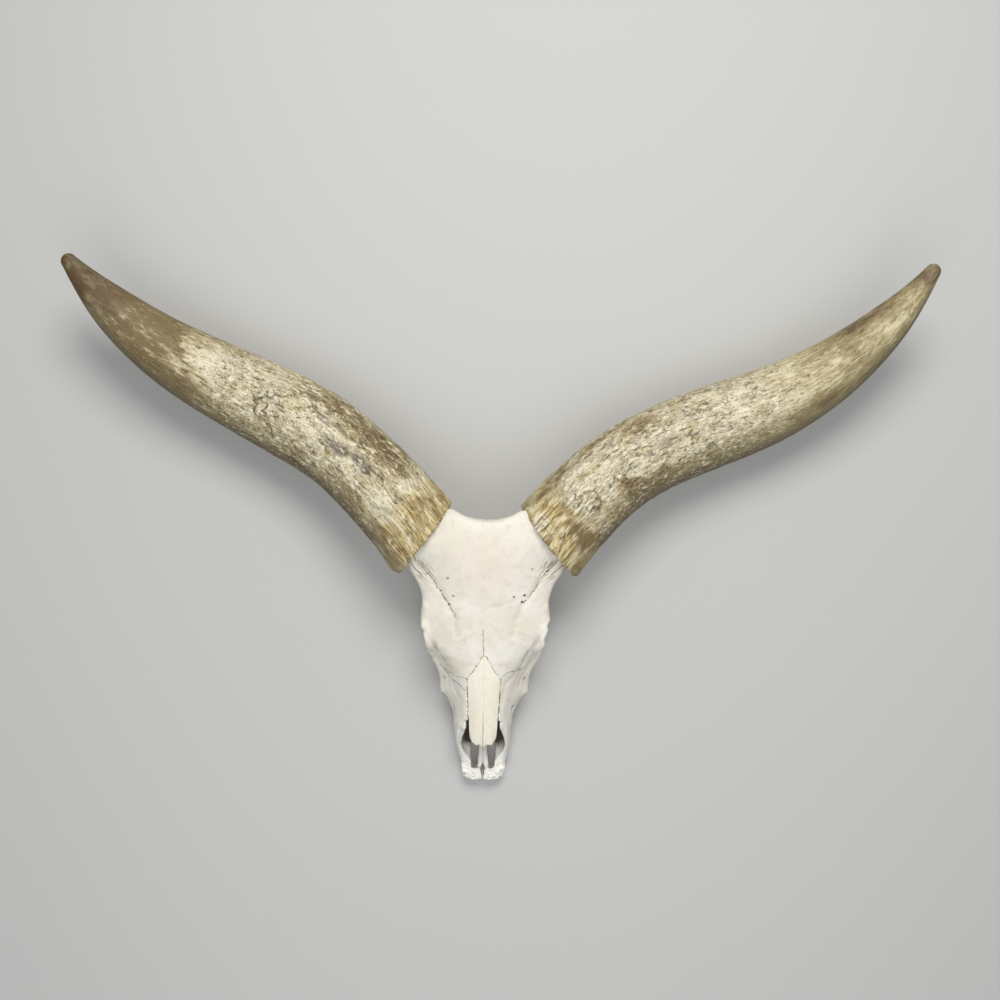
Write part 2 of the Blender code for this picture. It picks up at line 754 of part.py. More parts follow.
def finish(nodes):
    """Gives each node its material and sets them all with the middle of their box over the origin."""
    points = np.array([vert.co for node in nodes for vert in node.data.vertices])
    low, high = points.min(axis=0), points.max(axis=0)
    shift = Matrix.Translation((-(low[0] + high[0]) / 2, -(low[1] + high[1]) / 2, -low[2]))
    skull_collection = bpy.data.collections.new("watusi_skull")
    bpy.context.scene.collection.children.link(skull_collection)
    for node in nodes:
        bpy.context.scene.collection.objects.unlink(node)
        skull_collection.objects.link(node)
        node.data.transform(shift)
        node.data.shade_smooth()
        node.data.set_sharp_from_angle(angle=math.radians(35))
        kind = node.name.split("_")[0]
        colour, roughness = FINISHES[kind]
        finish = bpy.data.materials.new(node.name)
        finish.use_nodes = True
        shader = finish.node_tree.nodes["Principled BSDF"]
        shader.inputs["Base Color"].default_value = (*colour, 1)
        shader.inputs["Roughness"].default_value = roughness
        shader.inputs["Metallic"].default_value = 0
        node.data.materials.clear()
        node.data.materials.append(finish)


clear_scene()
finish(skull())
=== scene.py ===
"""Looks of an Ankole-Watusi ox skull with its two horn sheaths, life size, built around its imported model.

It lies face up with its nose towards -Y, and the camera looks straight down on it. Left and right are the
animal's own, so its left is +X. Places on the head are given in millimetres: t is the distance in front of
the poll, x the distance from the midline and z the height above the floor.
"""

import math

import bmesh
import bpy
import numpy as np
from mathutils import Matrix, Vector
from mathutils.bvhtree import BVHTree


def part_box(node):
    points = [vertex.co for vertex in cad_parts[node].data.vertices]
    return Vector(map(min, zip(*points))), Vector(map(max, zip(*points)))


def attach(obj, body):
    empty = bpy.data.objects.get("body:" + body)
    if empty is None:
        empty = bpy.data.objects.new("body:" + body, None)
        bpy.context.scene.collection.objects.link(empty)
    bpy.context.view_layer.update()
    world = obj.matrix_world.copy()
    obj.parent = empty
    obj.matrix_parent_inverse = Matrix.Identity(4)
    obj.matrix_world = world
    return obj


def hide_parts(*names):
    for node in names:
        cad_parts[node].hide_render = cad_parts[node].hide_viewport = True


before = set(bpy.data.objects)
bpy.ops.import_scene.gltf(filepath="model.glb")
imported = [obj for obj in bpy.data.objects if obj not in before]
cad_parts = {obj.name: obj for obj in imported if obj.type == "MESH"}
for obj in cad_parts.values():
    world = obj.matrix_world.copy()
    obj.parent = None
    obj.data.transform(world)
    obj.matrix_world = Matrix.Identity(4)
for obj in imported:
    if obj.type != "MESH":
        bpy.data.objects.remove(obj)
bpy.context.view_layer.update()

# Cranium: forehead, face, braincase, arches and the stumps that carry the horns, fused as they are in an
# old ox. It is bone, boiled and bleached until it is matt and chalky, with open seams between its plates.
# A copy of the CAD cranium gets a finer skin here, and then its seams, grooves, pits and worn relief.
MM = 0.001
NASAL_BACK = 227  # t where the nasal bones start, which gives the poll's own place
MIDLINE_X = (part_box("nasal_left")[0][0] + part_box("nasal_right")[1][0]) / 2
POLL_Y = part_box("nasal_left")[1][1] + NASAL_BACK * MM
HEAD = np.array([MIDLINE_X, POLL_Y, 0.0])  # where t, x and z are 0
SIDES = {"left": 1, "right": -1}  # sign of x on either side of the head

CRANIUM_GRAIN = 2.7 * MM
CRANIUM_ROUNDS = 16
CROWNS = ((196, 340), (24, 80), (-5, 16.5))  # spans of t, x and z that the CAD cranium's plain teeth take up

# Seams and cracks: view, side, depth, half width, how far they wander, then their points. A top or under
# view gives points as t, x, a side view as t, z and a back view as x, z.
SEAMS = [
    ("top", "middle", 0.9, 0.6, 0.8,
     [(183, -2.4), (190, -2.6), (198, -2.0), (207, -2.2), (218, -1.2), (229, -0.6)]),
    ("top", "both", 0.8, 0.7, 0.9, [(228, 3), (240, 9.6), (254, 18), (267, 27)]),
    ("top", "both", 0.9, 0.75, 0.8, [(266, 29), (284, 27.6), (300, 27), (335, 25.4), (351, 24.5)]),
    ("top", "right", 0.9, 0.6, 1.4,
     [(267.5, 27), (265.3, 42), (262.2, 52.7), (259.7, 60.8), (257, 69), (252.6, 75.3), (246, 80)]),
    ("top", "left", 0.9, 0.6, 1.4,
     [(266.8, 27), (259.2, 35.2), (254.3, 43.5), (253.6, 52), (253.7, 60.7), (249.3, 67.5), (244.3, 72.5),
      (237.5, 79.2)]),
    ("top", "right", 1.2, 0.75, 1.3,
     [(258, 69.5), (266.7, 61.8), (273.8, 52.8), (277.4, 45.6), (281.3, 38.5), (290.9, 29)]),
    ("top", "left", 0.6, 0.6, 1.3, [(251, 64), (259.3, 59.1), (269.7, 54.3), (278.1, 49.3)]),
    ("top", "right", 1.1, 0.65, 1.5,
     [(62, 118), (66.9, 116), (81.7, 103.1), (96.3, 89.8), (111.1, 79.8), (125.9, 69.8), (134.2, 64.7),
      (141, 58.7)]),
    ("top", "right", 0.7, 0.6, 1.5, [(139, 61), (148, 55), (160, 49)]),
    ("top", "left", 1.1, 0.65, 1.9,
     [(57, 122), (61.8, 119), (72.1, 109.7), (82.3, 100.1), (94.1, 92.3), (106, 84.4), (117.9, 76.5),
      (124, 72)]),
    ("top", "left", 0.9, 0.6, 1.0, [(64, 99.3), (85.7, 90.3), (100.9, 82.6)]),
    ("top", "right", 0.9, 0.6, 0.9, [(74, 97.5), (84, 92), (96.2, 86.5)]),
    ("top", "right", 0.9, 0.6, 0.9, [(85, 112), (90, 103), (93, 94)]),
    ("top", "left", 1.1, 0.75, 0.8, [(131, 67.5), (135, 62), (133.6, 56.5)]),
    ("side", "both", 0.8, 0.7, 1.4, [(140, 92), (152, 86), (160, 76), (173, 66)]),
    ("side", "both", 0.8, 0.7, 1.4, [(214, 84), (226, 79), (243, 80), (256, 76), (263, 68)]),
    ("side", "both", 0.7, 0.7, 1.4, [(263, 68), (252, 58), (236, 55), (222, 46), (204, 42)]),
    ("side", "both", 0.7, 0.7, 1.6, [(58, 100), (72, 118), (92, 128), (112, 124), (128, 110), (138, 96)]),
    ("under", "middle", 0.9, 0.7, 1.0, [(212, 0), (240, 0.6), (280, -0.4), (320, 0.3), (352, 0)]),
    ("under", "both", 0.8, 0.7, 1.4, [(240, 0), (236, 8), (239, 18), (232, 30), (222, 38)]),
    ("back", "middle", 0.8, 0.7, 1.8,
     [(-74, 118), (-52, 140), (-26, 151), (0, 154), (26, 151), (52, 140), (74, 118)]),
    ("back", "both", 0.8, 0.7, 1.4, [(22, 96), (40, 92), (56, 82), (66, 68)]),
]
# Broad furrows and ridges, in the same terms. A depth under 0 is a ridge.
FURROWS = [
    ("top", "right", 2.0, 5.0, 2.5,
     [(62, 119), (81.7, 103.1), (111.1, 79.8), (134.2, 64.7), (152.4, 54.6), (171, 49.4), (192, 45)]),
    ("top", "left", 2.2, 5.0, 2.5,
     [(57, 122), (82.3, 100.1), (106, 84.4), (129.7, 69.4), (151.7, 57.6), (168.7, 49.7), (190, 45)]),
    ("top", "right", -1.0, 2.6, 1.5, [(202, 50), (197, 36), (190.7, 27), (182, 15)]),
    ("top", "left", -0.8, 2.8, 1.5, [(168, 9), (179.3, 21.9), (192.8, 34)]),
    ("top", "left", -0.7, 2.4, 1.2, [(182.4, 48), (185.8, 65.1), (190, 80)]),
    ("top", "left", -0.6, 2.2, 1.2, [(200, 47), (204, 57), (207, 68)]),
    ("top", "left", 0.8, 3.2, 2.0, [(128, 57), (133.3, 40.6), (140.3, 24.4), (143, 10)]),
    ("top", "left", 0.5, 1.8, 1.2, [(98, 38), (81.2, 44.3), (76.1, 50.7), (77.6, 62.2)]),
    ("top", "both", 0.4, 1.7, 1.2, [(92, 4), (108, 5), (122, 3)]),
    ("top", "right", 1.9, 4.2, 1.0, [(187, 101), (201.8, 91.1), (223.3, 78.6), (240, 70), (253, 64)]),
    ("top", "left", 1.9, 4.2, 1.0, [(184, 99), (198, 88.9), (216.2, 77.4), (238, 68), (252, 60)]),
    ("top", "left", 1.6, 6.0, 1.5,
     [(226, 70), (245.8, 64), (263, 50.6), (276.3, 38), (307, 31.5), (325, 29)]),
    ("top", "right", 1.0, 5.0, 1.5, [(243.8, 72.2), (266.7, 61.8), (291.6, 48), (308, 38)]),
    ("top", "middle", 0.9, 9.0, 2.0, [(176, -1), (200, -1), (222, 0)]),
    ("side", "both", -1.4, 2.4, 1.5, [(232, 62), (252, 60), (272, 58), (290, 56)]),
    ("side", "both", 1.2, 5.0, 2.0, [(240, 90), (262, 84), (284, 80)]),
    ("back", "middle", -2.0, 4.0, 2.0,
     [(-78, 128), (-56, 150), (-28, 161), (0, 164), (28, 161), (56, 150), (78, 128)]),
    ("back", "middle", -1.6, 3.0, 0.8, [(0, 160), (0, 140), (0, 118)]),
]
# Openings for vessels and nerves: view, side, radius, depth, place in that view
FORAMINA = [
    ("top", "left", 1.8, 4.5, (123.0, 65.1)),
    ("top", "left", 2.0, 2.6, (133.6, 60.6)),
    ("top", "left", 1.3, 1.6, (124.8, 47.0)),
    ("top", "left", 0.9, 0.8, (77.4, 75.2)),
    ("top", "right", 1.2, 1.2, (95.3, 62.3)),
    ("top", "both", 1.3, 1.6, (268.5, 28.6)),
    ("top", "right", 1.2, 1.6, (125.3, 53.7)),
    ("top", "right", 1.6, 2.6, (139.9, 59.7)),
    ("top", "right", 1.3, 1.8, (118.0, 74.6)),
    ("side", "both", 1.6, 2.5, (272, 74)),
    ("side", "both", 1.6, 2.5, (118, 132)),
    ("under", "both", 2.8, 5.0, (238, 17)),
    ("under", "both", 1.3, 2.5, (244, 13)),
    ("back", "both", 1.8, 3.0, (30, 100)),
]
# Where the forehead's corners fray into fine ridges under the horns: side, t, x, reach, heading in degrees
FRAYS = [("left", 74, 113, 24, 44), ("right", 78, 111, 22, 40)]
FRAY_WIDTHS, MARK_WIDTHS = (24,), (3.6, 1.8)  # mm beside frays, and beside seams and pits, with finer edges
# Knobs: view, side, reach, height, place
KNOBS = [("side", "both", 9, 1.6, (294, 58))]
# Steps in the outline at the rim of the eye socket and along the cheek, and the fuller right side of the
# snout: side, t, half length, height
OUTLINE_STEPS = [
    ("right", 364, 46, 3.8),
    ("right", 178, 5, 1.2),
    ("right", 187, 3.5, -1.5),
    ("right", 214, 5, 1.8),
    ("right", 226, 4, 1.4),
    ("right", 236, 5, -1.5),
    ("left", 163, 5, 1.8),
    ("left", 174, 3.5, -1.7),
    ("left", 182, 4, 1.0),
    ("left", 197, 6, -1.2),
    ("left", 208, 5, 1.7),
    ("left", 219, 4, -1.3),
]

BONE_CHALK = "#E6E2D8"
BONE_IVORY = "#DFD9C9"
BONE_GREY = "#C9C6BB"
BONE_BLUSH = "#E4D5C6"
BONE_HOLLOW = "#A99E88"
BONE_SEAM = "#41372A"
BONE_CAVE_SHADE = "#9B8E76"
BONE_NOSE_SHADE = "#30261C"


def through(values, at):
    """Smooth curve through rows of values, read at 'at', where row k is at k: between two rows a cubic whose
    slope at a row is half the step from the row before to the one after."""
    rows = np.asarray(values, float)
    slope = np.gradient(rows, axis=0)
    at = np.clip(np.asarray(at, float), 0, len(rows) - 1)
    low = np.minimum(at.astype(int), len(rows) - 2)
    share = (at - low).reshape((-1,) + (1,) * (rows.ndim - 1))
    rise = rows[low + 1] - rows[low]
    bend = slope[low] + slope[low + 1] - 2 * rise
    lean = rise - slope[low] - bend
    return rows[low] + share * (slope[low] + share * (lean + bend * share))


LATTICE = 32  # random numbers along each side of a block, which is then repeated


def mottle(points, grain, seed):
    """Even random swell from -1 to 1 at points in metres: random numbers on a lattice 'grain' millimetres
    wide, which may be three widths, blended between its corners by 3s^2 - 2s^3 along each axis."""
    lattice = np.random.default_rng(seed).uniform(-1, 1, (LATTICE, LATTICE, LATTICE))
    spot = points / MM / np.asarray(grain, float)
    cell = np.floor(spot).astype(int)
    share = spot - cell
    share = share * share * (3 - 2 * share)
    value = np.zeros(len(points))
    for corner in np.ndindex(2, 2, 2):
        weight = np.where(corner, share, 1 - share).prod(axis=1)
        i, j, k = ((cell + corner) % LATTICE).T
        value += weight * lattice[i, j, k]
    return value


def ramp(values, start, end):
    """0 up to start and 1 from end on, straight between them. Start may be the larger."""
    return np.clip((values - start) / (end - start), 0, 1)


def bell(distance, width):
    """1 at distance 0, falling as exp of minus the square of distance over width."""
    return np.exp(-((distance / width) ** 2))


def read(items, field, width, kind=np.float32):
    """One field of a mesh's corners, edges or faces, as a row of 'width' values for each."""
    values = np.empty(len(items) * width, kind)
    items.foreach_get(field, values)
    return values.reshape(-1, width)


def points_of(mesh):
    return read(mesh.vertices, "co", 3).astype(float)


def normals_of(mesh):
    return read(mesh.vertices, "normal", 3).astype(float)


def edges_of(mesh):
    return read(mesh.edges, "vertices", 2, np.int32)


def move_to(mesh, points):
    mesh.vertices.foreach_set("co", points.astype(np.float32).ravel())
    mesh.update()


def neighbour_mean(values, edges):
    """Mean over each corner's neighbours of values with one row a corner."""
    count = np.bincount(edges.ravel(), minlength=len(values))
    mean = np.empty_like(values)
    for column in range(values.shape[1]):
        total = np.bincount(edges[:, 0], values[edges[:, 1], column], len(values))
        total += np.bincount(edges[:, 1], values[edges[:, 0], column], len(values))
        mean[:, column] = total / np.maximum(count, 1)
    return mean


def eased(points, edges, rounds):
    """Points freed of facets with their form kept: in each round they move half way to the mean of their
    neighbours, and then 0.53 of that way back out."""
    for share in (0.5, -0.53) * rounds:
        points = points + share * (neighbour_mean(points, edges) - points)
    return points


def new_object(name, data):
    """Object of a mesh, lamp or camera, put into the scene."""
    made = bpy.data.objects.new(name, data)
    bpy.context.scene.collection.objects.link(made)
    return made


def edit(mesh, change):
    """Makes a change to a mesh's own corners, edges and faces."""
    work = bmesh.new()
    work.from_mesh(mesh)
    change(work)
    work.to_mesh(mesh)
    work.free()


def bone_skin(node_name, name, grain, rounds, cut=None):
    """Copy of a CAD bone with its corners merged and a box cut off on either side, remade in squares 'grain'
    metres wide and eased."""
    merged = bmesh.new()
    merged.from_mesh(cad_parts[node_name].data)
    bmesh.ops.remove_doubles(merged, verts=merged.verts, dist=0.01 * MM)
    mesh = bpy.data.meshes.new(name)
    merged.to_mesh(mesh)
    merged.free()
    bone = new_object(name, mesh)
    blocks = []
    for side in (1, -1) if cut else ():
        (t0, t1), (x0, x1), (z0, z1) = cut
        middle = (MIDLINE_X + side * (x0 + x1) / 2 * MM, POLL_Y - (t0 + t1) / 2 * MM, (z0 + z1) / 2 * MM)
        size = ((x1 - x0) * MM, (t1 - t0) * MM, (z1 - z0) * MM, 1)
        stand = Matrix.Translation(middle) @ Matrix.Diagonal(size)
        block = new_object("block", bpy.data.meshes.new("block"))
        edit(block.data, lambda work: bmesh.ops.create_cube(work, size=1, matrix=stand))
        trim = bone.modifiers.new("Trim", "BOOLEAN")
        trim.object = block
        trim.operation = "DIFFERENCE"
        blocks.append(block)
    remesh = bone.modifiers.new("Remesh", "REMESH")
    remesh.mode = "VOXEL"
    remesh.voxel_size = grain
    graph = bpy.context.evaluated_depsgraph_get()
    bone.data = bpy.data.meshes.new_from_object(bone.evaluated_get(graph))
    bone.modifiers.clear()
    for block in blocks:
        bpy.data.objects.remove(block)
    move_to(bone.data, eased(points_of(bone.data), edges_of(bone.data), rounds))
    return bone


PATH_STEP = 2.0  # mm


def laid(tree, view, side, path):
    """A path's points, joined by a smooth curve, read every 2 mm or so, and cast on to the bone along the
    line of sight of its view, in metres."""
    spots = path = np.atleast_2d(path)
    if len(path) > 1:
        reach = np.linalg.norm(np.diff(path, axis=0), axis=1).sum()
        spots = through(path, np.linspace(0, len(path) - 1, int(reach / PATH_STEP) + 2))
    hits = []
    for first, second in spots:
        start, way = {  # a place outside the head, and which way it looks
            "top": ((side * second, -first, 400), (0, 0, -1)),
            "under": ((side * second, -first, -60), (0, 0, 1)),
            "side": ((side * 260, -first, second), (-side, 0, 0)),
            "back": ((side * first, 120, second), (0, -1, 0)),
        }[view]
        hit = tree.ray_cast(Vector(HEAD + np.array(start) * MM), Vector(way))[0]
        if hit is not None:
            hits.append(hit)
    return np.array(hits)


def laid_all(tree, rows):
    """The path or the one place that a row ends with, on each of its sides, with the row's other values
    before it. What misses the bone is left out."""
    found = []
    for view, sides, *values, path in rows:
        for side in (1, -1) if sides == "both" else (SIDES.get(sides, 1),):
            line = laid(tree, view, side, path)
            if len(line):
                found.append((values, line))
    return found


FAR = 1e3  # mm, more than anything on the head is across
OFF_SURFACE = 7  # mm


def distance_to(line, points, normals, reach):
    """Millimetres from points to a line on the bone, measured along the bone: the part of the way that runs
    along the normal is left out. Points out of reach or more than 7 mm off the surface are far away."""
    far = np.full(len(points), FAR)
    low, high = line.min(axis=0) - reach * MM, line.max(axis=0) + reach * MM
    inside = np.all((points > low) & (points < high), axis=1)
    here, up = points[inside], normals[inside]
    best = np.full(len(here), FAR)
    for start, end in zip(line[:-1], line[1:]):
        run = end - start
        share = np.clip((here - start) @ run / max(run @ run, 1e-12), 0, 1)
        away = here - start - share[:, None] * run
        lift = (away * up).sum(axis=1)
        flat = np.sqrt(np.maximum((away**2).sum(axis=1) - lift**2, 0)) / MM
        best = np.minimum(best, np.where(np.abs(lift) < OFF_SURFACE * MM, flat, FAR))
    far[inside] = best
    return far


def split_selected(work):
    """Halves the selected edges."""
    chosen = [edge for edge in work.edges if edge.select]
    bmesh.ops.subdivide_edges(work, edges=chosen, cuts=1, use_grid_fill=True)


def refined(bone, lines, widths):
    """Splits the edges near the lines, once for each width, so that narrow marks have corners enough."""
    for width in widths:
        mesh = bone.data
        points, normals = points_of(mesh), normals_of(mesh)
        near = np.zeros(len(points), bool)
        for line in lines:
            near |= distance_to(line, points, normals, width) < width
        mesh.edges.foreach_set("select", near[edges_of(mesh)].all(axis=1))
        edit(mesh, split_selected)


CELL = 3.0 * MM
CELL_MARGIN = 90 * MM
STREWN_CRANIUM, STREWN_SMALL = 600000, 60000  # points over the cranium, and over each smaller bone


def bone_cells():
    """Grid of the cells that the head's bones pass through, and its low corner: points strewn evenly over the
    CAD surfaces mark the cells they lie in. The grid is 90 mm wider than the head on every side."""
    dice = np.random.default_rng(12)
    strewn = []
    for name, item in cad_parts.items():
        if name.startswith("horn"):
            continue
        item.data.calc_loop_triangles()
        corners = points_of(item.data)[read(item.data.loop_triangles, "vertices", 3, np.int32)]
        sides = corners[:, 1:] - corners[:, :1]
        area = np.linalg.norm(np.cross(sides[:, 0], sides[:, 1]), axis=1)
        count = STREWN_CRANIUM if name == "cranium" else STREWN_SMALL
        pick = dice.choice(len(area), count, p=area / area.sum())
        root, even = np.sqrt(dice.random((len(pick), 1))), dice.random((len(pick), 1))
        strewn.append(corners[pick, 0] + root * (1 - even) * sides[pick, 0] + root * even * sides[pick, 1])
    strewn = np.concatenate(strewn)
    low = strewn.min(axis=0) - CELL_MARGIN
    cells = np.zeros(((strewn.max(axis=0) + CELL_MARGIN - low) / CELL).astype(int) + 1, bool)
    cells[tuple(((strewn - low) / CELL).astype(int).T)] = True
    return cells, low


SKY_WAYS = 40
GOLDEN_ANGLE = 2.39996  # turn from each direction to the next, in radians, which spreads them evenly
SKY_EDGE = 0.34  # cosine of 70 degrees
SKY_START = 2.5  # mm over the bone
SKY_REACH = 25  # cells


def openness(mesh, points, rounds):
    """Share of the sky over each corner that is open: of 40 even directions, those within 70 degrees of the
    normal are followed for 75 mm, and count by their cosine if they meet no bone. The share is eased in
    rounds, each of which takes the neighbours' mean."""
    normals = normals_of(mesh)
    cells, low = bone_cells()
    number = np.arange(SKY_WAYS)
    turn = number * GOLDEN_ANGLE
    height = 1 - (number + 0.5) / (SKY_WAYS / 2)
    level = np.sqrt(1 - height**2)
    ways = np.column_stack([level * np.cos(turn), level * np.sin(turn), height])
    free_sum, weight_sum = np.zeros(len(points)), np.full(len(points), 1e-9)
    for way in ways:
        weight = normals @ way
        near = np.flatnonzero(weight > SKY_EDGE)
        start = (points[near] + normals[near] * SKY_START * MM - low) / CELL
        free = np.ones(len(near), bool)
        for reach in np.arange(1.2, SKY_REACH, 0.95):
            spot = (start + way * reach).astype(int)
            free &= ~cells[spot[:, 0], spot[:, 1], spot[:, 2]]
        free_sum[near] += weight[near] * free
        weight_sum[near] += weight[near]
    sky = (free_sum / weight_sum)[:, None]
    for _ in range(rounds):
        sky = neighbour_mean(sky, edges_of(mesh))
    return sky[:, 0]


def stacked(*parts):
    """Parts spread to one grid and put side by side along a last axis."""
    return np.stack(np.broadcast_arrays(*parts), axis=-1)


def paint(mesh, name, *three):
    """Keeps three values a corner as an attribute that the material reads."""
    kept = mesh.attributes.new(name, "FLOAT_VECTOR", "POINT")
    kept.data.foreach_set("vector", stacked(*three).astype(np.float32).ravel())


def carved(bone, seams, furrows, pits, swell):
    """Cuts the relief into a bone along its normals: a slow swell, the furrows as bells of their width, the
    seams as narrow bells with a low lip either side that come and go along the way and fade over their last
    8 mm, and the pits as steep bells. Gives the new points and how deep each corner lies in a seam."""
    mesh = bone.data
    points, normals = points_of(mesh), normals_of(mesh)
    lift = swell * (0.55 * mottle(points, 38, 1) + 0.26 * mottle(points, 15, 2) + 0.11 * mottle(points, 6, 3))
    fine = [mottle(points, 6, seed) + 0.5 * mottle(points, 2.4, seed + 9) for seed in (4, 5, 6)]
    fine = np.column_stack(fine) * MM
    broad = np.column_stack([mottle(points, 17, seed) for seed in (7, 8, 9)]) * MM
    strength = np.clip(0.75 + 0.75 * mottle(points, 7, 10) + 0.4 * mottle(points, 3, 11), 0.15, 1.1)
    for (depth, width, stray), line in furrows:
        away = distance_to(line, points + stray * broad, normals, 4 * width)
        lift -= depth * bell(away, width)
    stain = np.zeros(len(points))
    for (depth, width, stray), line in seams:
        away = distance_to(line, points + stray * fine * 0.75, normals, 6 * width)
        ends = np.minimum(1, np.linalg.norm(points - line[-1], axis=1) / (8 * MM))
        here = strength * (0.25 + 0.75 * ends)
        lift += here * depth * (0.3 * bell(away - 2.6 * width, 1.3 * width) - bell(away, width))
        stain = np.maximum(stain, here * bell(away, width * 0.85) * min(1, 0.3 + depth * 0.5))
    for (radius, depth), place in pits:
        away = np.linalg.norm(points + 0.5 * fine - place[0], axis=1) / MM
        lift -= depth * bell(away, radius) - 0.25 * bell(away - 2.2 * radius, radius)
        stain = np.maximum(stain, bell(away, radius))
    return points + normals * (lift * MM)[:, None], stain


def hollowness(mesh):
    """How hollow the surface is at each corner, up to 1, and under 0 on ridges: 14 mm times how far its
    neighbours' mean stands above it, over the square of the distance to them, eased three times."""
    points, normals, edges = points_of(mesh), normals_of(mesh), edges_of(mesh)
    span = np.linalg.norm(points[edges[:, 0]] - points[edges[:, 1]], axis=1)
    count = np.bincount(edges.ravel(), minlength=len(points))
    size = np.bincount(edges.ravel(), np.repeat(span, 2), len(points)) / count
    bend = (((neighbour_mean(points, edges) - points) * normals).sum(axis=1) / size**2 * MM)[:, None]
    for _ in range(3):
        bend = neighbour_mean(bend, edges)
    return np.clip(bend[:, 0] * 14, -1, 1)


def linear(code):
    """Linear colour of an sRGB hex code: a share c is c / 12.92 up to 0.04045, and ((c + 0.055) / 1.055)^2.4
    above that."""
    shares = [int(code[i : i + 2], 16) / 255 for i in (1, 3, 5)]
    return (*[c / 12.92 if c <= 0.04045 else ((c + 0.055) / 1.055) ** 2.4 for c in shares], 1)


def fill(tree, made, inputs):
    """Sets each input of a node, a hex code as a colour, or links it."""
    for key, value in inputs.items():
        if isinstance(value, bpy.types.NodeSocket):
            tree.links.new(value, made.inputs[key])
        else:
            made.inputs[key].default_value = linear(value) if isinstance(value, str) else value


def node(tree, kind, inputs, **settings):
    """Adds a shader node with its settings and its inputs."""
    made = tree.nodes.new("ShaderNode" + kind)
    for name, value in settings.items():
        setattr(made, name, value)
    fill(tree, made, inputs)
    return made


def new_material(name):
    """Empty material, its node tree and its shader."""
    material = bpy.data.materials.new(name)
    material.use_nodes = True
    return material, material.node_tree, material.node_tree.nodes["Principled BSDF"]


def mask(tree, terms, low, high, most=1.0, gate=1.0):
    """Weighted sum of the terms, or the one value given, with low to high made 0 to most and held there
    beyond, times the gate."""
    total = 0.0
    for term, weight in terms if isinstance(terms, list) else [(terms, 1)]:
        total = node(tree, "Math", {0: term, 1: weight, 2: total}, operation="MULTIPLY_ADD").outputs[0]
    share = node(tree, "MapRange", {0: total, 1: low, 2: high, 3: 0.0, 4: most}).outputs[0]
    return node(tree, "Math", {0: share, 1: gate}, operation="MULTIPLY").outputs[0]


def layered(tree, colour, layers):
    """Colour with further ones laid over it, each by the mask of its row's other values, or by the one share
    that the row gives."""
    for over, *values in layers:
        share = values[0] if len(values) == 1 else mask(tree, *values)
        colour = node(tree, "Mix", {0: share, 6: colour, 7: over}, data_type="RGBA").outputs[2]
    return colour


def bleached_bone(name, chalk, ivory, grey_share):
    """Bleached bone, boiled and whitened with peroxide: matt and chalky, ivory in clouds where fat stayed in
    it, greyer in blotches, grey-brown in its hollows and nearly black in its open seams. It also takes painted
    shade: grey-brown where little sky is open, and nearly black inside the nose.
    Its fine grain and its pores are drawn coarser than real ones, which no picture at this size shows."""
    material, tree, shader = new_material(name)
    place = node(tree, "TexCoord", {}).outputs["Object"]
    kept = [node(tree, "Attribute", {}, attribute_name=name).outputs["Vector"] for name in ("marks", "tints")]
    seam, hollow, cave_shade = node(tree, "SeparateXYZ", {0: kept[0]}).outputs
    blush, nose, chill = node(tree, "SeparateXYZ", {0: kept[1]}).outputs
    noise = {"Vector": place, "Detail": 5.0, "Roughness": 0.62}
    cloud, patch, grain = [
        node(tree, "TexNoise", {**noise, "Scale": 1000 / size}).outputs[0] for size in (48, 15, 2.6)
    ]
    pores = node(tree, "TexVoronoi", {"Vector": place, "Scale": 1000 / 3.4}).outputs[0]
    colour = layered(tree, chalk, [
        (ivory, cloud, 0.40, 0.62),
        (BONE_GREY, patch, 0.50, 0.72, grey_share),
        (BONE_BLUSH, blush, 0, 1, 0.6),
        (BONE_GREY, chill, 0, 1, 0.5),
        (BONE_HOLLOW, grain, 0.40, 0.68, 0.14),
        (BONE_HOLLOW, hollow, 0.06, 0.75, 0.7),
        # painted shade: grey-brown where little sky is open, from the third value of marks
        (BONE_CAVE_SHADE, [(cave_shade, 1), (patch, 0.75)], 0.60, 1.35, 0.85),
        # painted shade: nearly black inside the nose, from the nose value of tints
        (BONE_NOSE_SHADE, [(nose, 1), (patch, 0.6)], 0.40, 1.10, 0.97),
        (BONE_SEAM, seam),
    ])
    relief = mask(tree, [(pores, -0.35), (grain, 1)], -1, 1, 2)
    raised = node(tree, "Bump", {"Strength": 0.5, "Distance": 0.35 * MM, "Height": relief}).outputs[0]
    fill(tree, shader, {"Base Color": colour, "Normal": raised})
    fill(tree, shader, {"Roughness": 0.72, "IOR": 1.54, "Specular IOR Level": 0.35})
    return material


def head_places(points):
    """t, x and z of points in metres, in millimetres."""
    from_poll = (points - HEAD) / MM
    return -from_poll[:, 1], from_poll[:, 0], from_poll[:, 2]


def stepped(points, normals):
    """Points of the head moved out along their normals, where these point sideways, by each step's height as
    a bell of its half length along t."""
    t, x, z = head_places(points)
    lift = np.zeros(len(points))
    for side, middle, half_length, height in OUTLINE_STEPS:
        outward = SIDES[side]
        sideways = ramp(normals[:, 0] * outward, 0.25, 0.7) * ramp(x * outward, 5, 15) * ramp(z, 30, 55)
        lift += sideways * height * bell(t - middle, half_length)
    return points + normals * (lift * MM)[:, None]


NOSE_RIM = ((345, 362, 380, 396), (94, 83, 67, 54))  # t and z of places on the rim of the nose opening


def nose_shade(t, x, z, normals, sky):
    """How much painted shade the nose takes at a corner, up to 1: far back where little sky is open, and
    inside the opening below its rim, fading towards the front, but for the bars beside the midline."""
    back = ramp(sky, 0.80, 0.45) * ramp(t, 388, 364)
    under_rim = ramp(np.interp(t, *NOSE_RIM) - z, 3, 20)
    inside = ramp(normals[:, 0] * np.sign(x), 0.45, 0.1) * ramp(normals[:, 2], -0.6, -0.2)
    front = under_rim * inside * ramp(t, 408, 384) * ramp(np.abs(x), 12, 20)
    front *= 1 - 0.55 * ramp(np.abs(x), 27, 42)
    return ramp(t, 262, 300) * np.maximum(back, front)


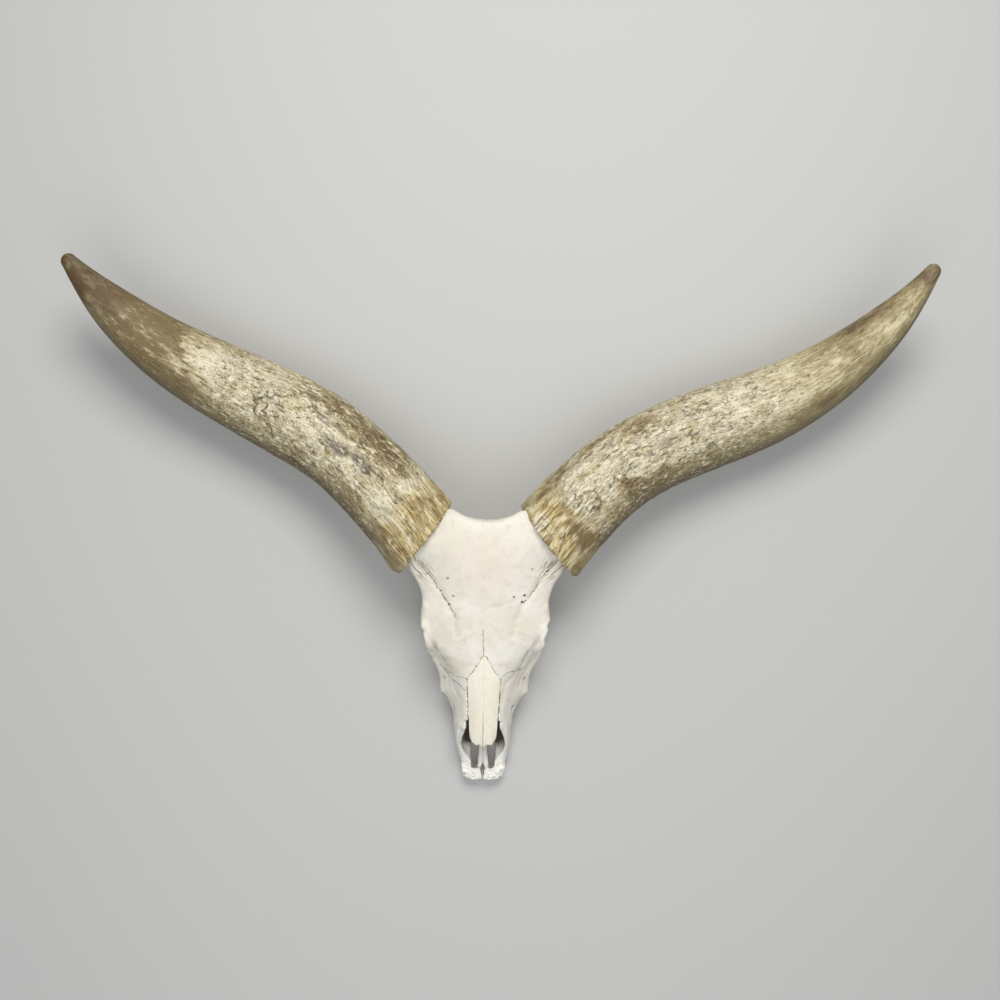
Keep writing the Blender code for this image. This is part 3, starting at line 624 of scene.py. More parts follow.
cranium = bone_skin("cranium", "cranium_bone", CRANIUM_GRAIN, CRANIUM_ROUNDS, CROWNS)
skin = BVHTree.FromObject(cranium, bpy.context.evaluated_depsgraph_get())
seams, furrows, pits = laid_all(skin, SEAMS), laid_all(skin, FURROWS), laid_all(skin, FORAMINA)
frayed = [
    laid(skin, "top", SIDES[side], [(t - 16, x + 14), (t + 16, x - 14)]) for side, t, x, _, _ in FRAYS
]
refined(cranium, frayed, FRAY_WIDTHS)
short_lines = [place + [[0, 0, 0], [0, 0, 0.1 * MM]] for _, place in pits]
refined(cranium, [line for _, line in seams] + short_lines, MARK_WIDTHS)
points, stain = carved(cranium, seams, furrows, pits, 1.0)
normals = normals_of(cranium.data)
t, x, z = head_places(points)
fray = np.zeros(len(points))
for side, t0, x0, reach, heading in FRAYS:
    out = x * SIDES[side]
    turn = math.radians(heading)
    along = (t - t0) * math.cos(turn) - (out - x0) * math.sin(turn)
    across = (t - t0) * math.sin(turn) + (out - x0) * math.cos(turn)
    fan = stacked(along, across * (1 + along / 110), 0) * MM
    here = bell(np.hypot(along * 0.85, across * 1.25), reach) * ramp(normals[:, 2], -0.3, 0)
    fray += here * (1.3 * mottle(fan, (17, 3.2, 5), 21) + 0.5 * mottle(fan, (9, 1.7, 5), 22))
points += normals * (fray * MM)[:, None]
points = stepped(points, normals)
for (reach, height), place in laid_all(skin, KNOBS):
    near = bell(np.linalg.norm(points - place[0], axis=1) / MM, reach)
    knobbly = 0.4 + mottle(points, 3.6, 23) + 0.5 * mottle(points, 1.9, 24)
    points += normals * (near * height * knobbly * MM)[:, None]
move_to(cranium.data, points)
cranium.data.shade_smooth()
sky = openness(cranium.data, points, 4)
hollow = hollowness(cranium.data) + np.clip(-fray, 0, 1) * 0.7
blush = bell(np.hypot(t - 72, x), 52) * (normals[:, 2] > 0.5)
chill = bell(t - 60, 22) * bell(np.abs(x) - 88, 20) * (normals[:, 2] > 0.4)
stain = np.maximum(stain, 0.4 * ramp(-fray, 0.7, 1.4))
# The nose value of tints is painted shade inside the nose opening and far back in the airway.
nose = nose_shade(t, x, z, normals, sky) * (np.abs(x) < 52)
# The third value of marks, one less the open share of the sky, is painted shade.
paint(cranium.data, "marks", stain, hollow, 1 - sky)
paint(cranium.data, "tints", blush, nose, chill)
bone = bleached_bone("bleached bone", BONE_CHALK, BONE_IVORY, 0.5)
cranium.data.materials.append(bone)
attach(cranium, "root")
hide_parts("cranium")

# Premaxillae: the two flat bones that end the snout, each with a long slot beside the midline and a rough,
# knobbly front edge that the gum grew on. Each is its own piece beside an open seam, in the bleached bone
# made whiter: partly the snout's own whiter bone, partly painted light that makes up for the light its
# forward slope misses.
PREMAXILLA_GRAIN = 1.2 * MM
PREMAXILLA_ROUNDS = 24
KNOBS_FROM = 420  # t where the rough front edge starts
GAP_MIDDLE, GAP_LENGTH, GAP_WIDTH = 440, 8, 2.4  # the spindle-shaped opening between their tips
BARS_CLOSER = 1.4  # how much nearer to the midline the bars' inner sides stand than in the CAD bones
SUTURE_T, SUTURE_Z = 361, 60  # a place on the sloping suture at their back
SUTURE_RUN = 0.5  # how far it runs back for each mm down
TONGUE = 4.5  # how far the back end runs on into the maxilla, which closes that suture
# whiter than the cranium's bone: partly its own tone, partly painted light
SNOUT_CHALK = "#F9F7F1"
SNOUT_IVORY = "#F2EEE4"
snout_bone = bleached_bone("bleached snout bone", SNOUT_CHALK, SNOUT_IVORY, 0.2)

for name in SIDES:
    node_name = "premaxilla_" + name
    snout = bone_skin(node_name, node_name + "_bone", PREMAXILLA_GRAIN, PREMAXILLA_ROUNDS)
    points, stain = carved(snout, [], [], [], 0.55)
    normals = normals_of(snout.data)
    t, x, z = head_places(points)
    rough = ramp(t, KNOBS_FROM, KNOBS_FROM + 16) * np.clip(np.abs(x) / 12, 0.35, 1)
    knobs = 1.5 * mottle(points, 6.0, 31) + 0.9 * mottle(points, 3.2, 32) + 0.35 * mottle(points, 1.6, 33)
    points += normals * (rough * (1.8 * knobs - 0.5) * MM)[:, None]
    parted_by = GAP_WIDTH * bell(t - GAP_MIDDLE, GAP_LENGTH) * np.clip(1 - np.abs(x) / 11, 0, 1)
    closer = BARS_CLOSER * ramp(np.abs(x), 9, 3) * ramp(t, 438, 428)
    points[:, 0] += np.sign(x) * (parted_by - closer) * MM
    before_suture = t - SUTURE_T - (SUTURE_Z - z) * SUTURE_RUN
    points[:, 1] += TONGUE * ramp(before_suture, 14, 4) * MM
    points = stepped(points, normals)
    move_to(snout.data, points)
    snout.data.shade_smooth()
    sky = openness(snout.data, points, 6)
    hollow = hollowness(snout.data) * 0.4 + rough * np.clip(-knobs, 0, 1) * 0.12
    # The third value of marks, one less the open share of the sky, is painted shade.
    paint(snout.data, "marks", stain, hollow, 1 - sky)
    # The nose value of tints is painted shade inside the nose opening.
    paint(snout.data, "tints", 0, nose_shade(t, x, z, normals, sky), ramp(t, 424, 404))
    snout.data.materials.append(snout_bone)
    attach(snout, "root")
    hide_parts(node_name)

# Nasal bones: two long thin plates that roof the nose, arched a little, side by side, pointed at the back
# where they run up between the frontal bones, and free and splintery in front over the nose opening.
# They are the same bleached bone, a little yellower, and lie in the face with a fine seam all round.
NASALS = [  # t, half width of the pair, z of the ridge, fall from there to the outer edge
    (227, 2.5, 143.0, 0.4),
    (240, 9, 139.2, 1.8),
    (254, 17.5, 135.0, 3.8),
    (268, 26.5, 130.6, 6.4),
    (300, 26, 120.6, 8),
    (335, 24.5, 109.2, 9),
    (360, 23.5, 101, 9.5),
    (374, 22.8, 96.2, 8.9),
    (382, 21.8, 93.6, 8.1),
    (387, 19.2, 92, 6.8),
]
NASAL_THICKNESS = 4.2
NASAL_TUCK = 0.55  # how far the outer edge is tucked into the face, where the seam closes
NASAL_FREE = 328  # t from which the two part along the midline
TIP_FROM, TIP_RUN = 362, 25
NASAL_ROWS = 150
NASAL_CORNERS = 34  # from the midline to the outer edge
NASAL_CHALK = "#F0EBDB"
NASAL_IVORY = "#EBE4CF"


def with_ends(values):
    """Values on a grid of rows, one line a corner, with the mean of the first and of the last row added."""
    corners = values.reshape(-1, values.shape[-1])
    return np.concatenate([corners, values[:1].mean(axis=1), values[-1:].mean(axis=1)])


def closed_skin(name, rows):
    """Closed mesh over rows of points that each go once round, with squares between two rows and a fan of
    triangles from the middle of the first and of the last row."""
    count, around = rows.shape[:2]
    index = np.arange(count * around).reshape(count, around)
    beside = np.roll(index, -1, axis=1)
    squares = stacked(index[:-1], beside[:-1], beside[1:], index[1:]).reshape(-1, 4)
    start_fan = stacked(beside[0], index[0], index.size)
    end_fan = stacked(index[-1], beside[-1], index.size + 1)
    faces = squares.tolist() + start_fan.tolist() + end_fan.tolist()
    mesh = bpy.data.meshes.new(name)
    mesh.from_pydata(with_ends(rows).tolist(), [], faces)
    edit(mesh, lambda work: bmesh.ops.recalc_face_normals(work, faces=work.faces))
    mesh.shade_smooth()
    return new_object(name, mesh)


def nasal_rows(side):
    """Rows along one nasal bone: w runs from the midline to the outer edge over the top and back underneath,
    z is the ridge's height less the fall times w squared, the outer edge is rounded, and the inner one is
    where it is free. The tip runs longest at the midline and is drawn back towards its outer corner."""
    t, half, ridge, fall = through(NASALS, np.linspace(0, len(NASALS) - 1, NASAL_ROWS)).T[:, :, None]
    w = (1 - np.cos(np.linspace(0, math.pi, NASAL_CORNERS))) / 2

    def strewn(across, lengthwise, number):
        spot = stacked(x * side, t, 0).reshape(-1, 3) * MM
        return mottle(spot, (across, lengthwise, 9), number).reshape(x.shape)

    inner = 0.06 + 0.12 * ramp(t, NASAL_FREE, NASAL_FREE + 50)
    x = inner + (half + NASAL_TUCK * ramp(t, 362, 345) - inner) * w
    x = x + 0.5 * strewn(400, 6, 40) * w**6 * ramp(t, 358, 340)
    outward, inward = half + NASAL_TUCK - x, x - inner
    rounded = 1.2 * (1 - np.sqrt(1 - (1 - ramp(outward, 0, 1.2)) ** 2))
    rounded += 0.6 * ramp(t, NASAL_FREE, NASAL_FREE + 40) * (1 - np.sqrt(1 - (1 - ramp(inward, 0, 0.6)) ** 2))
    grooves = 0.20 * strewn(2.4, 34, 41) + 0.10 * strewn(1.2, 20, 42) + 0.45 * strewn(20, 30, 43)
    top = ridge - fall * w**2 - rounded + grooves * ramp(outward, 0, 3)
    under = ridge - fall * w**2 - NASAL_THICKNESS + 0.7 * rounded
    end = ramp(t, TIP_FROM, TIP_FROM + TIP_RUN)
    drawn = 5.0 * ramp(w, 0.10, 0.24) - 3.0 * ramp(w, 0.28, 0.50) + 7.0 * ramp(w, 0.66, 1) ** 2
    splinters = 2.5 * strewn(3.4, 900, 44) + 1.9 * strewn(1.5, 900, 45)
    ahead = t - end * drawn + end**3 * splinters * ramp(w, 0.02, 0.15)
    x = np.concatenate([x, x[:, ::-1]], axis=1) * side
    height = np.concatenate([top, under[:, ::-1]], axis=1)
    ahead = np.concatenate([ahead, ahead[:, ::-1]], axis=1)
    return HEAD + stacked(x, -ahead, height) * MM


nasal_bone = bleached_bone("bleached nasal bone", NASAL_CHALK, NASAL_IVORY, 0.25)
for name, side in SIDES.items():
    nasal = closed_skin("nasal_" + name + "_bone", nasal_rows(side))
    points = points_of(nasal.data)
    t, x, _ = head_places(points)
    up = normals_of(nasal.data)[:, 2]
    open_here = np.clip(0.5 + 0.5 * mottle(points, 9, 46), 0.1, 0.8)
    seam = bell(np.abs(x) - 0.2, 0.6) * ramp(t, 318, 345) * open_here
    # painted shade on the underside, where the normal turns down, in the third value of marks and the nose
    # value of tints; the second value of marks is a grey-brown band near the front edge
    underside_shade = ramp(up, 0.2, -0.3)
    paint(nasal.data, "marks", seam, 0.25 * bell(t - 386, 3.5), underside_shade)
    paint(nasal.data, "tints", 0, underside_shade * 0.8, 0)
    nasal.data.materials.append(nasal_bone)
    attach(nasal, "root")
    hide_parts("nasal_" + name)

# Cheek teeth: three premolars and three molars on either side, tall ribbed columns of enamel, dentine and
# cement, worn flat by grazing so that crescents of enamel stand a little proud of the softer dentine.
# They sit fast in the sockets of the upper jaw, and the skull rests on them.
TEETH = [  # length along the row, width across it, lobes
    (16, 13, 1),
    (19, 17, 1),
    (19, 19, 1),
    (25, 22, 2),
    (27, 23, 2),
    (27, 21, 2),
]
ROW_FRONT = 333
ROW_X_FRONT, ROW_X_BACK = 43, 57.5
TOOTH_TOP = 27  # z where a tooth ends in the jaw
TOOTH_SIDES = 112
TOOTH_GAP = (0.5, 0.4)  # how much shorter and narrower a tooth is than its place
TOOTH_IVORY = "#D8CCB0"
TOOTH_CEMENT = "#B8A37C"
TOOTH_STREAK = "#8F7650"
TOOTH_BROWN = "#6B5334"
TOOTH_DARK = "#2B2118"


def tooth_rows(side, t, x, length, width, lobes, seed):
    """Rows of one tooth, from the middle of its worn face out to its edge and up its side.

    Its outline is a rounded box, drawn in between the lobes, with three ribs on the cheek side. The worn face
    rises into each lobe's crescent and the dentine round it, and its enamel rims stay at the lowest level."""
    turn = np.linspace(0, 2 * math.pi, TOOTH_SIDES, endpoint=False)
    ahead, out = np.cos(turn), np.sin(turn)
    box = np.maximum(np.abs(ahead), np.abs(out)) ** 0.6
    waist = np.cos(lobes * math.pi / 2 * ahead) ** 2 * (lobes - 1)
    outer = out > 0
    ribs = 0.07 * bell(np.abs(ahead) - 0.86, 0.12) + 0.06 * bell(ahead, 0.13) * (lobes - 1)
    low_ribs = 0.05 * bell(np.abs(ahead) - 0.45, 0.12)
    reach = 1 - np.where(outer, 0.07, 0.24) * waist + np.where(outer, ribs, 0) + np.where(outer, low_ribs, 0)
    along = length / 2 * ahead / box
    across = width / 2 * out * reach / box
    lobe_middles = (0.0,) if lobes == 1 else (-length / 4, length / 4)
    lobe_half = length / lobes / 2
    share = np.sin(np.linspace(0.04, math.pi / 2, 16))[:, None]
    a, b = along * share, across * share
    rise = np.full(a.shape, 1.1)
    for middle in lobe_middles:
        bow = 0.10 * width - 0.16 * width * ((a - middle) / lobe_half) ** 2
        pit = np.hypot((a - middle) / (lobe_half * 0.6), (b + bow) / (width * 0.13))
        rim = np.hypot((a - middle) / lobe_half, b / (width / 2))
        rise = rise + 1.3 * bell(pit, 0.8) - 1.1 * bell(pit - 1.45, 0.3) - 0.6 * bell(rim - 0.93, 0.12)
    rise = np.clip(rise * np.clip((1 - share) * 9, 0, 1), 0, 3)
    height = np.array([0.25, 0.8, 2, 4, 7, 10, 13, 16, 19, 22, TOOTH_TOP])[:, None]
    taper = 1 + 0.012 * np.minimum(height, 3) - 0.005 * np.maximum(height - 6, 0)
    side_a, side_b = along * taper, across * taper
    spot = stacked(side_a, side_b, height).reshape(-1, 3) * MM + seed
    wave = 0.022 * mottle(spot, (3, 3, 9), 51) + 0.011 * mottle(spot, (1.4, 1.4, 5), 52)
    wave = 1 + wave.reshape(side_a.shape)
    face = stacked(x + b, -(t + a), rise)
    sides = stacked(x + side_b * wave, -(t + side_a * wave), height)
    rows = np.concatenate([face, sides]) * (side, 1, 1)
    return HEAD + rows * MM, face.shape[0]


def tooth_enamel():
    """Old tooth enamel with cement in its folds: ivory, glossy, streaked brown towards the gum line, with
    dark crescents in the worn face."""
    material, tree, shader = new_material("worn tooth enamel and cement")
    place = node(tree, "TexCoord", {}).outputs["Object"]
    kept = node(tree, "Attribute", {}, attribute_name="marks").outputs["Vector"]
    dark, brown, _ = node(tree, "SeparateXYZ", {0: kept}).outputs
    streaked = node(tree, "Mapping", {0: place, 3: (1000 / 1.6, 1000 / 1.6, 1000 / 12)}).outputs[0]
    fine = node(tree, "TexNoise", {"Vector": streaked, "Scale": 1.0, "Detail": 3.0}).outputs[0]
    cloud = node(tree, "TexNoise", {"Vector": place, "Scale": 1000 / 7, "Detail": 5.0}).outputs[0]
    colour = layered(tree, TOOTH_IVORY, [
        (TOOTH_CEMENT, cloud, 0.35, 0.68),
        (TOOTH_STREAK, fine, 0.45, 0.75, 0.55),
        (TOOTH_BROWN, brown),
        (TOOTH_DARK, dark),
    ])
    raised = node(tree, "Bump", {"Strength": 0.4, "Distance": 0.3 * MM, "Height": fine}).outputs[0]
    fill(tree, shader, {"Base Color": colour, "Normal": raised, "Roughness": 0.38, "IOR": 1.62})
    return material


enamel = tooth_enamel()
row_length = sum(length for length, _, _ in TEETH)
for name, side in SIDES.items():
    built, front = [], ROW_FRONT
    for number, (length, width, lobes) in enumerate(TEETH):
        middle = front - length / 2
        share = math.sin((ROW_FRONT - middle) / row_length * math.pi / 2)
        x = ROW_X_FRONT + (ROW_X_BACK - ROW_X_FRONT) * share
        size = length - TOOTH_GAP[0], width - TOOTH_GAP[1]
        rows, face_count = tooth_rows(side, middle, x, *size, lobes, number + side * 0.5)
        tooth = closed_skin("tooth", rows)
        z = points_of(tooth.data)[:, 2] / MM
        worn = np.arange(len(z)) < face_count * TOOTH_SIDES
        dark = np.where(worn, ramp(z, 1.5, 2.4) * 0.9, 0)
        brown = np.where(worn, ramp(z, 0.35, 0.85) * 0.55, ramp(z, 12, 18) * 0.7)
        paint(tooth.data, "marks", dark, brown, 0)
        built.append(tooth)
        front -= length
    teeth = built[0]
    with bpy.context.temp_override(
        active_object=teeth, selected_editable_objects=built, selected_objects=built
    ):
        bpy.ops.object.join()
    teeth.name = "cheek_teeth_" + name
    teeth.data.materials.append(enamel)
    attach(teeth, "root")

# Horn sheaths: hollow cones of keratin that slip over the bony stumps, grown in long fibres and never split.
# Their mouths are frayed, with honey-coloured fibre laid bare. Then comes a cracked, scurfy, cream and grey
# surface that flakes off in places, and the outer half is worn smooth, olive-tan, with darker tips.
HORN_MOUTH = (105.8, 31.0, 129.0)  # x, t, z of the middle of the mouth
HORN_STEPS = 37
MOUTH_STEPS = 6
HORN_DIP = [-4.6, -12.2, -13, -6, 2, 9, 14, 18, 20]  # degrees above level, at even shares of the length
HORNS = {  # headings in degrees and radii in millimetres, at even shares of the length
    "left": {
        "length": 801.0,
        "mouth": (40, 6.5),  # heading and dip that its mouth faces
        "worn_corner": 1.5,  # mm by which the lower corner of its mouth is worn back
        "droop": 0.99648,  # share of the dips below level that it takes
        "heading": [53, 44.5, 31.7, 23.6, 21, 29.3, 38.8, 48.4, 59.7],
        "radius": [75, 71.4, 70.3, 71.3, 69, 62, 49.5, 34.4, 13.4],
        "pale_to": 610,  # mm along to which cream scurf reaches
        # how brown its upper edge is, at mm along
        "upper": [
            (0, 0.2), (60, 0.4), (240, 0.4), (290, 0), (590, 0), (640, 0.6), (801, 0.4),
        ],
        "tan": "#978962",
        "tip": "#6E5F42",
        "tip_run": 50,  # mm over which the tip darkens
        # marks on the surface: kind, mm along, degrees round from its lower edge, half length, half width
        # and share
        "marks": [
            ("brown", 44, 56, 18, 34, 1.2), ("pale", 13, 114, 16, 26, 1.2), ("brown", 74, 148, 48, 14, 0.9),
            ("grey", 52, 104, 12, 18, 1.2), ("pale", 78, 106, 14, 24, 1.1), ("pale", 114, 98, 42, 34, 1.0),
            ("brown", 92, 80, 13, 12, 0.7), ("brown", 142, 66, 18, 20, 1.3),
            ("brown", 182, 50, 72, 19, 1.1), ("pale", 168, 116, 40, 16, 0.9),
            ("brown", 150, 154, 40, 13, 0.6), ("pale", 224, 90, 24, 13, 0.8),
            ("brown", 232, 138, 26, 17, 0.95), ("grey", 256, 92, 34, 14, 0.6),
            ("pale", 284, 120, 26, 15, 0.8), ("brown", 280, 28, 34, 14, 1.0),
            ("pale", 380, 150, 44, 12, 0.8), ("brown", 392, 117, 12, 9, 0.9),
            ("brown", 338, 122, 26, 12, 0.45), ("pale", 430, 106, 76, 38, 0.8),
            ("brown", 530, 52, 54, 13, 0.6), ("pale", 690, 74, 86, 20, 0.4),
            ("brown", 650, 138, 60, 14, 0.5),
        ],
        # holes: mm along, degrees round, radius, depth
        "holes": [(88, 74, 4.0, 1.6), (142, 60, 2.4, 1.2), (176, 58, 2.6, 1.2), (64, 96, 2.0, 0.8)],
        # cracks and flake edges: depth, half width, how dark, then mm along and degrees round
        "cracks": [
            (0.9, 0.9, 1.0, [(-2, 70), (14, 76), (32, 84)]),
            (0.6, 0.9, 0.9, [(36, 92), (44, 88), (58, 92), (66, 104), (62, 116)]),
            (0.6, 1.0, 0.8, [(84, 104), (96, 96), (100, 84), (92, 74)]),
            (0.5, 0.9, 0.7, [(130, 46), (190, 40), (250, 36), (300, 34)]),
            (0.4, 0.8, 0.7, [(286, 128), (318, 123), (352, 126)]),
            (0.4, 0.7, 0.5, [(560, 78), (610, 84), (660, 82)]),
        ],
    },
    "right": {
        "length": 764.0,
        "mouth": (37, 6.5),
        "worn_corner": 13.0,
        "droop": 1.01081,
        "heading": [51, 45.5, 39.5, 29.5, 25.6, 27, 34.2, 43.2, 54],
        "radius": [75, 72.5, 71.2, 73.2, 70.8, 63.6, 52.7, 37, 13.6],
        "pale_to": 520,
        "upper": [
            (0, 0.1), (80, 0.2), (110, 0.8), (190, 0.8), (240, 0.3), (330, 0), (530, 0), (580, 0.3),
            (764, 0.5),
        ],
        "tan": "#776641",
        "tip": "#503E1C",
        "tip_run": 170,
        "marks": [
            ("brown", 46, 42, 18, 22, 0.95), ("brown", 42, 120, 9, 16, 0.7), ("pale", 76, 119, 15, 16, 1.0),
            ("pale", 78, 73, 26, 15, 0.9), ("grey", 66, 80, 9, 8, 0.6), ("brown", 112, 124, 24, 19, 1.15),
            ("brown", 126, 60, 32, 14, 0.55), ("brown", 152, 134, 52, 20, 1.1),
            ("brown", 250, 152, 66, 14, 1.05), ("brown", 180, 118, 50, 10, 0.7),
            ("grey", 150, 98, 15, 13, 1.0), ("grey", 126, 96, 13, 11, 0.9), ("grey", 196, 92, 28, 11, 1.0),
            ("grey", 220, 74, 12, 9, 0.8), ("grey", 232, 113, 44, 8, 0.7), ("pale", 206, 102, 18, 9, 1.0),
            ("pale", 114, 94, 8, 7, 1.0), ("brown", 270, 133, 44, 8, 0.95), ("pale", 330, 116, 28, 17, 1.0),
            ("pale", 386, 82, 34, 28, 1.0), ("pale", 462, 110, 72, 34, 1.0),
            ("brown", 240, 29, 28, 12, 0.9), ("brown", 530, 56, 54, 14, 0.6),
            ("brown", 588, 124, 44, 14, 0.5), ("brown", 690, 84, 66, 20, 0.7),
        ],
        "holes": [
            (62, 82, 2.2, 1.0), (34, 54, 3.2, 1.2), (150, 88, 2.2, 0.9), (130, 101, 2.0, 0.8),
            (118, 86, 2.0, 0.8), (141, 83, 1.8, 0.8),
        ],
        "cracks": [
            (0.9, 0.8, 1.0, [(2, 138), (18, 134), (34, 132)]),
            (0.7, 1.2, 1.0, [(240, 30), (262, 40), (274, 38), (296, 50), (312, 52), (322, 64), (336, 68)]),
            (0.9, 1.6, 1.0, [(340, 70), (352, 68), (366, 75), (364, 84), (374, 88), (362, 95), (358, 103)]),
            (0.7, 1.2, 1.0, [(362, 100), (350, 99), (342, 108), (330, 108), (322, 116), (306, 120)]),
            (0.6, 1.1, 1.0, [(352, 78), (346, 88), (352, 94), (340, 100), (330, 99)]),
            (0.5, 0.8, 0.8, [(216, 62), (228, 70), (240, 68), (252, 76), (270, 74)]),
            (0.9, 1.2, 0.9, [(110, 14), (138, 20), (178, 25), (218, 29), (262, 36)]),
            (0.6, 0.9, 0.9, [(10, 78), (26, 88), (44, 92), (60, 100)]),
            (0.6, 1.2, 0.8, [(250, 139), (282, 134), (312, 130)]),
            (0.6, 1.2, 0.8, [(190, 100), (214, 94), (238, 97)]),
        ],
    },
}
HORN_ROWS = 462
HORN_SIDES = 192
# How far the rows inside the mouth lie into the horn, and how much smaller they are than the mouth
SOCKET_DEPTHS = (34, 26, 17, 10, 6, 3, 1.0, -0.6, -0.9, -0.5)
SOCKET_INSETS = (9, 9, 9, 9.2, 8.2, 6.2, 4.4, 2.6, 1.4, 0.5)
DOME_ROWS = 13
LEAST_WIDE, LEAST_ROUND = 4, 8  # smallest radii that patterns and marks count with, near the tip
HORN_CREAM = "#E4DBC0"
HORN_PALE = "#C8BB95"
HORN_STRAW = "#D0C08F"
HORN_HONEY = "#B39D69"
HORN_TAN = "#9D8E68"
HORN_LIGHT = "#EFE8D2"
HORN_OLIVE = "#7C7650"
HORN_GREY = "#857A70"
HORN_BROWN = "#77623C"
HORN_RUST = "#5C3D1E"
HORN_DARK = "#4A3A25"
HORN_CRACK = "#35281A"


def horn_line(horn):
    """Centre line of a sheath, the way its rings face and their radii at even steps, in millimetres, as the
    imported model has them: each step goes along the mean of two headings and dips. Read for the left side."""
    at = np.linspace(0, len(HORN_DIP) - 1, HORN_STEPS)
    heading, dip = through(np.radians(np.column_stack([horn["heading"], HORN_DIP])), at).T
    radius = through(horn["radius"], at)
    dip = np.where(dip < 0, dip * horn["droop"], dip)
    ahead = np.column_stack([np.cos(dip) * np.cos(heading), np.cos(dip) * np.sin(heading), np.sin(dip)])
    x, t, z = HORN_MOUTH
    step = horn["length"] / (HORN_STEPS - 1)
    points = np.cumsum(np.vstack([[x, -t, z], (ahead[:-1] + ahead[1:]) / 2 * step]), axis=0)
    mouth, tilt = np.radians(horn["mouth"])
    facing = np.array([math.cos(tilt) * math.cos(mouth), math.cos(tilt) * math.sin(mouth), math.sin(tilt)])
    askew = np.clip(1 - np.arange(HORN_STEPS) / MOUTH_STEPS, 0, 1)[:, None]
    return points, ahead * (1 - askew) + facing * askew, radius


def horn_rings(horn):
    """Middle, facing, radius and place along the horn of each ring, from the floor of the socket out over the
    lip and along to the tip. In the socket the rings turn from the mouth's facing to the horn's own way, and
    the tip is a dome: its rings shrink by the cosine of a turn and move on by its sine."""
    points, facing, radius = horn_line(horn)
    steps = np.linspace(0, HORN_STEPS - 1, HORN_ROWS)
    centre, ahead, size = through(points, steps), through(facing, steps), through(radius, steps)
    ahead /= np.linalg.norm(ahead, axis=1)[:, None]
    along = steps / (HORN_STEPS - 1) * horn["length"]
    depth = np.array(SOCKET_DEPTHS)
    inwards = (points[1] - points[0]) / np.linalg.norm(points[1] - points[0])
    turned = ramp(depth, 9, 34)[:, None]
    in_socket = ahead[0] * (1 - turned) + inwards * turned
    turn = np.radians(np.linspace(0, 88, DOME_ROWS + 1))[1:]
    dome = centre[-1] + ahead[-1] * (size[-1] * np.sin(turn))[:, None]
    centre = np.concatenate([centre[0] + inwards * depth[:, None], centre, dome])
    along = np.concatenate([-5 - depth, along, horn["length"] + size[-1] * turn])
    size = np.concatenate([size[0] - SOCKET_INSETS, size, size[-1] * np.cos(turn)])
    ahead = np.concatenate([in_socket, ahead, np.repeat(ahead[-1:], DOME_ROWS, axis=0)])
    return centre, ahead / np.linalg.norm(ahead, axis=1)[:, None], size, along


def horn_marks(horn, s, arc, size, pale, fuzz, fine_fuzz):
    """Shares of cream, brown and grey at each corner. Each mark is an ellipse with a frayed edge, laid over
    what is there, and a pale one also takes away the brown and the grey under it."""
    laid_on = {"pale": np.clip(pale, 0, 1), "brown": 0 * fuzz, "grey": 0 * fuzz}
    for kind, middle, around, half_length, half_width, share in horn["marks"]:
        across = (arc - math.radians(around) * np.maximum(size, LEAST_ROUND)[:, None]) / half_width
        off = np.hypot((s - middle) / half_length, across)
        here = np.clip(1.35 - off - 0.45 * fuzz - 0.45 * fine_fuzz, 0, 1)
        if kind == "pale":
            laid_on["brown"] *= 1 - here
            laid_on["grey"] *= 1 - here
        laid_on[kind] = laid_on[kind] * (1 - here) + share * here
    return stacked(laid_on["pale"], laid_on["brown"], laid_on["grey"])


def crack_distance(path, s, arc, along, size):
    """Millimetres over the sheath from each corner to the smooth curve through a crack's points."""
    at = np.linspace(0, len(path) - 1, 8 * len(path))
    line_s, line_degrees = through(path, at).T
    line_arc = np.radians(line_degrees) * np.interp(line_s, along, size)
    off = np.full(arc.shape, FAR)
    for s0, a0, s1, a1 in zip(line_s[:-1], line_arc[:-1], line_s[1:], line_arc[1:]):
        run_s, run_a = s1 - s0, a1 - a0
        share = np.clip(((s - s0) * run_s + (arc - a0) * run_a) / (run_s**2 + run_a**2), 0, 1)
        off = np.minimum(off, np.hypot(s - s0 - share * run_s, arc - a0 - share * run_a))
    return off


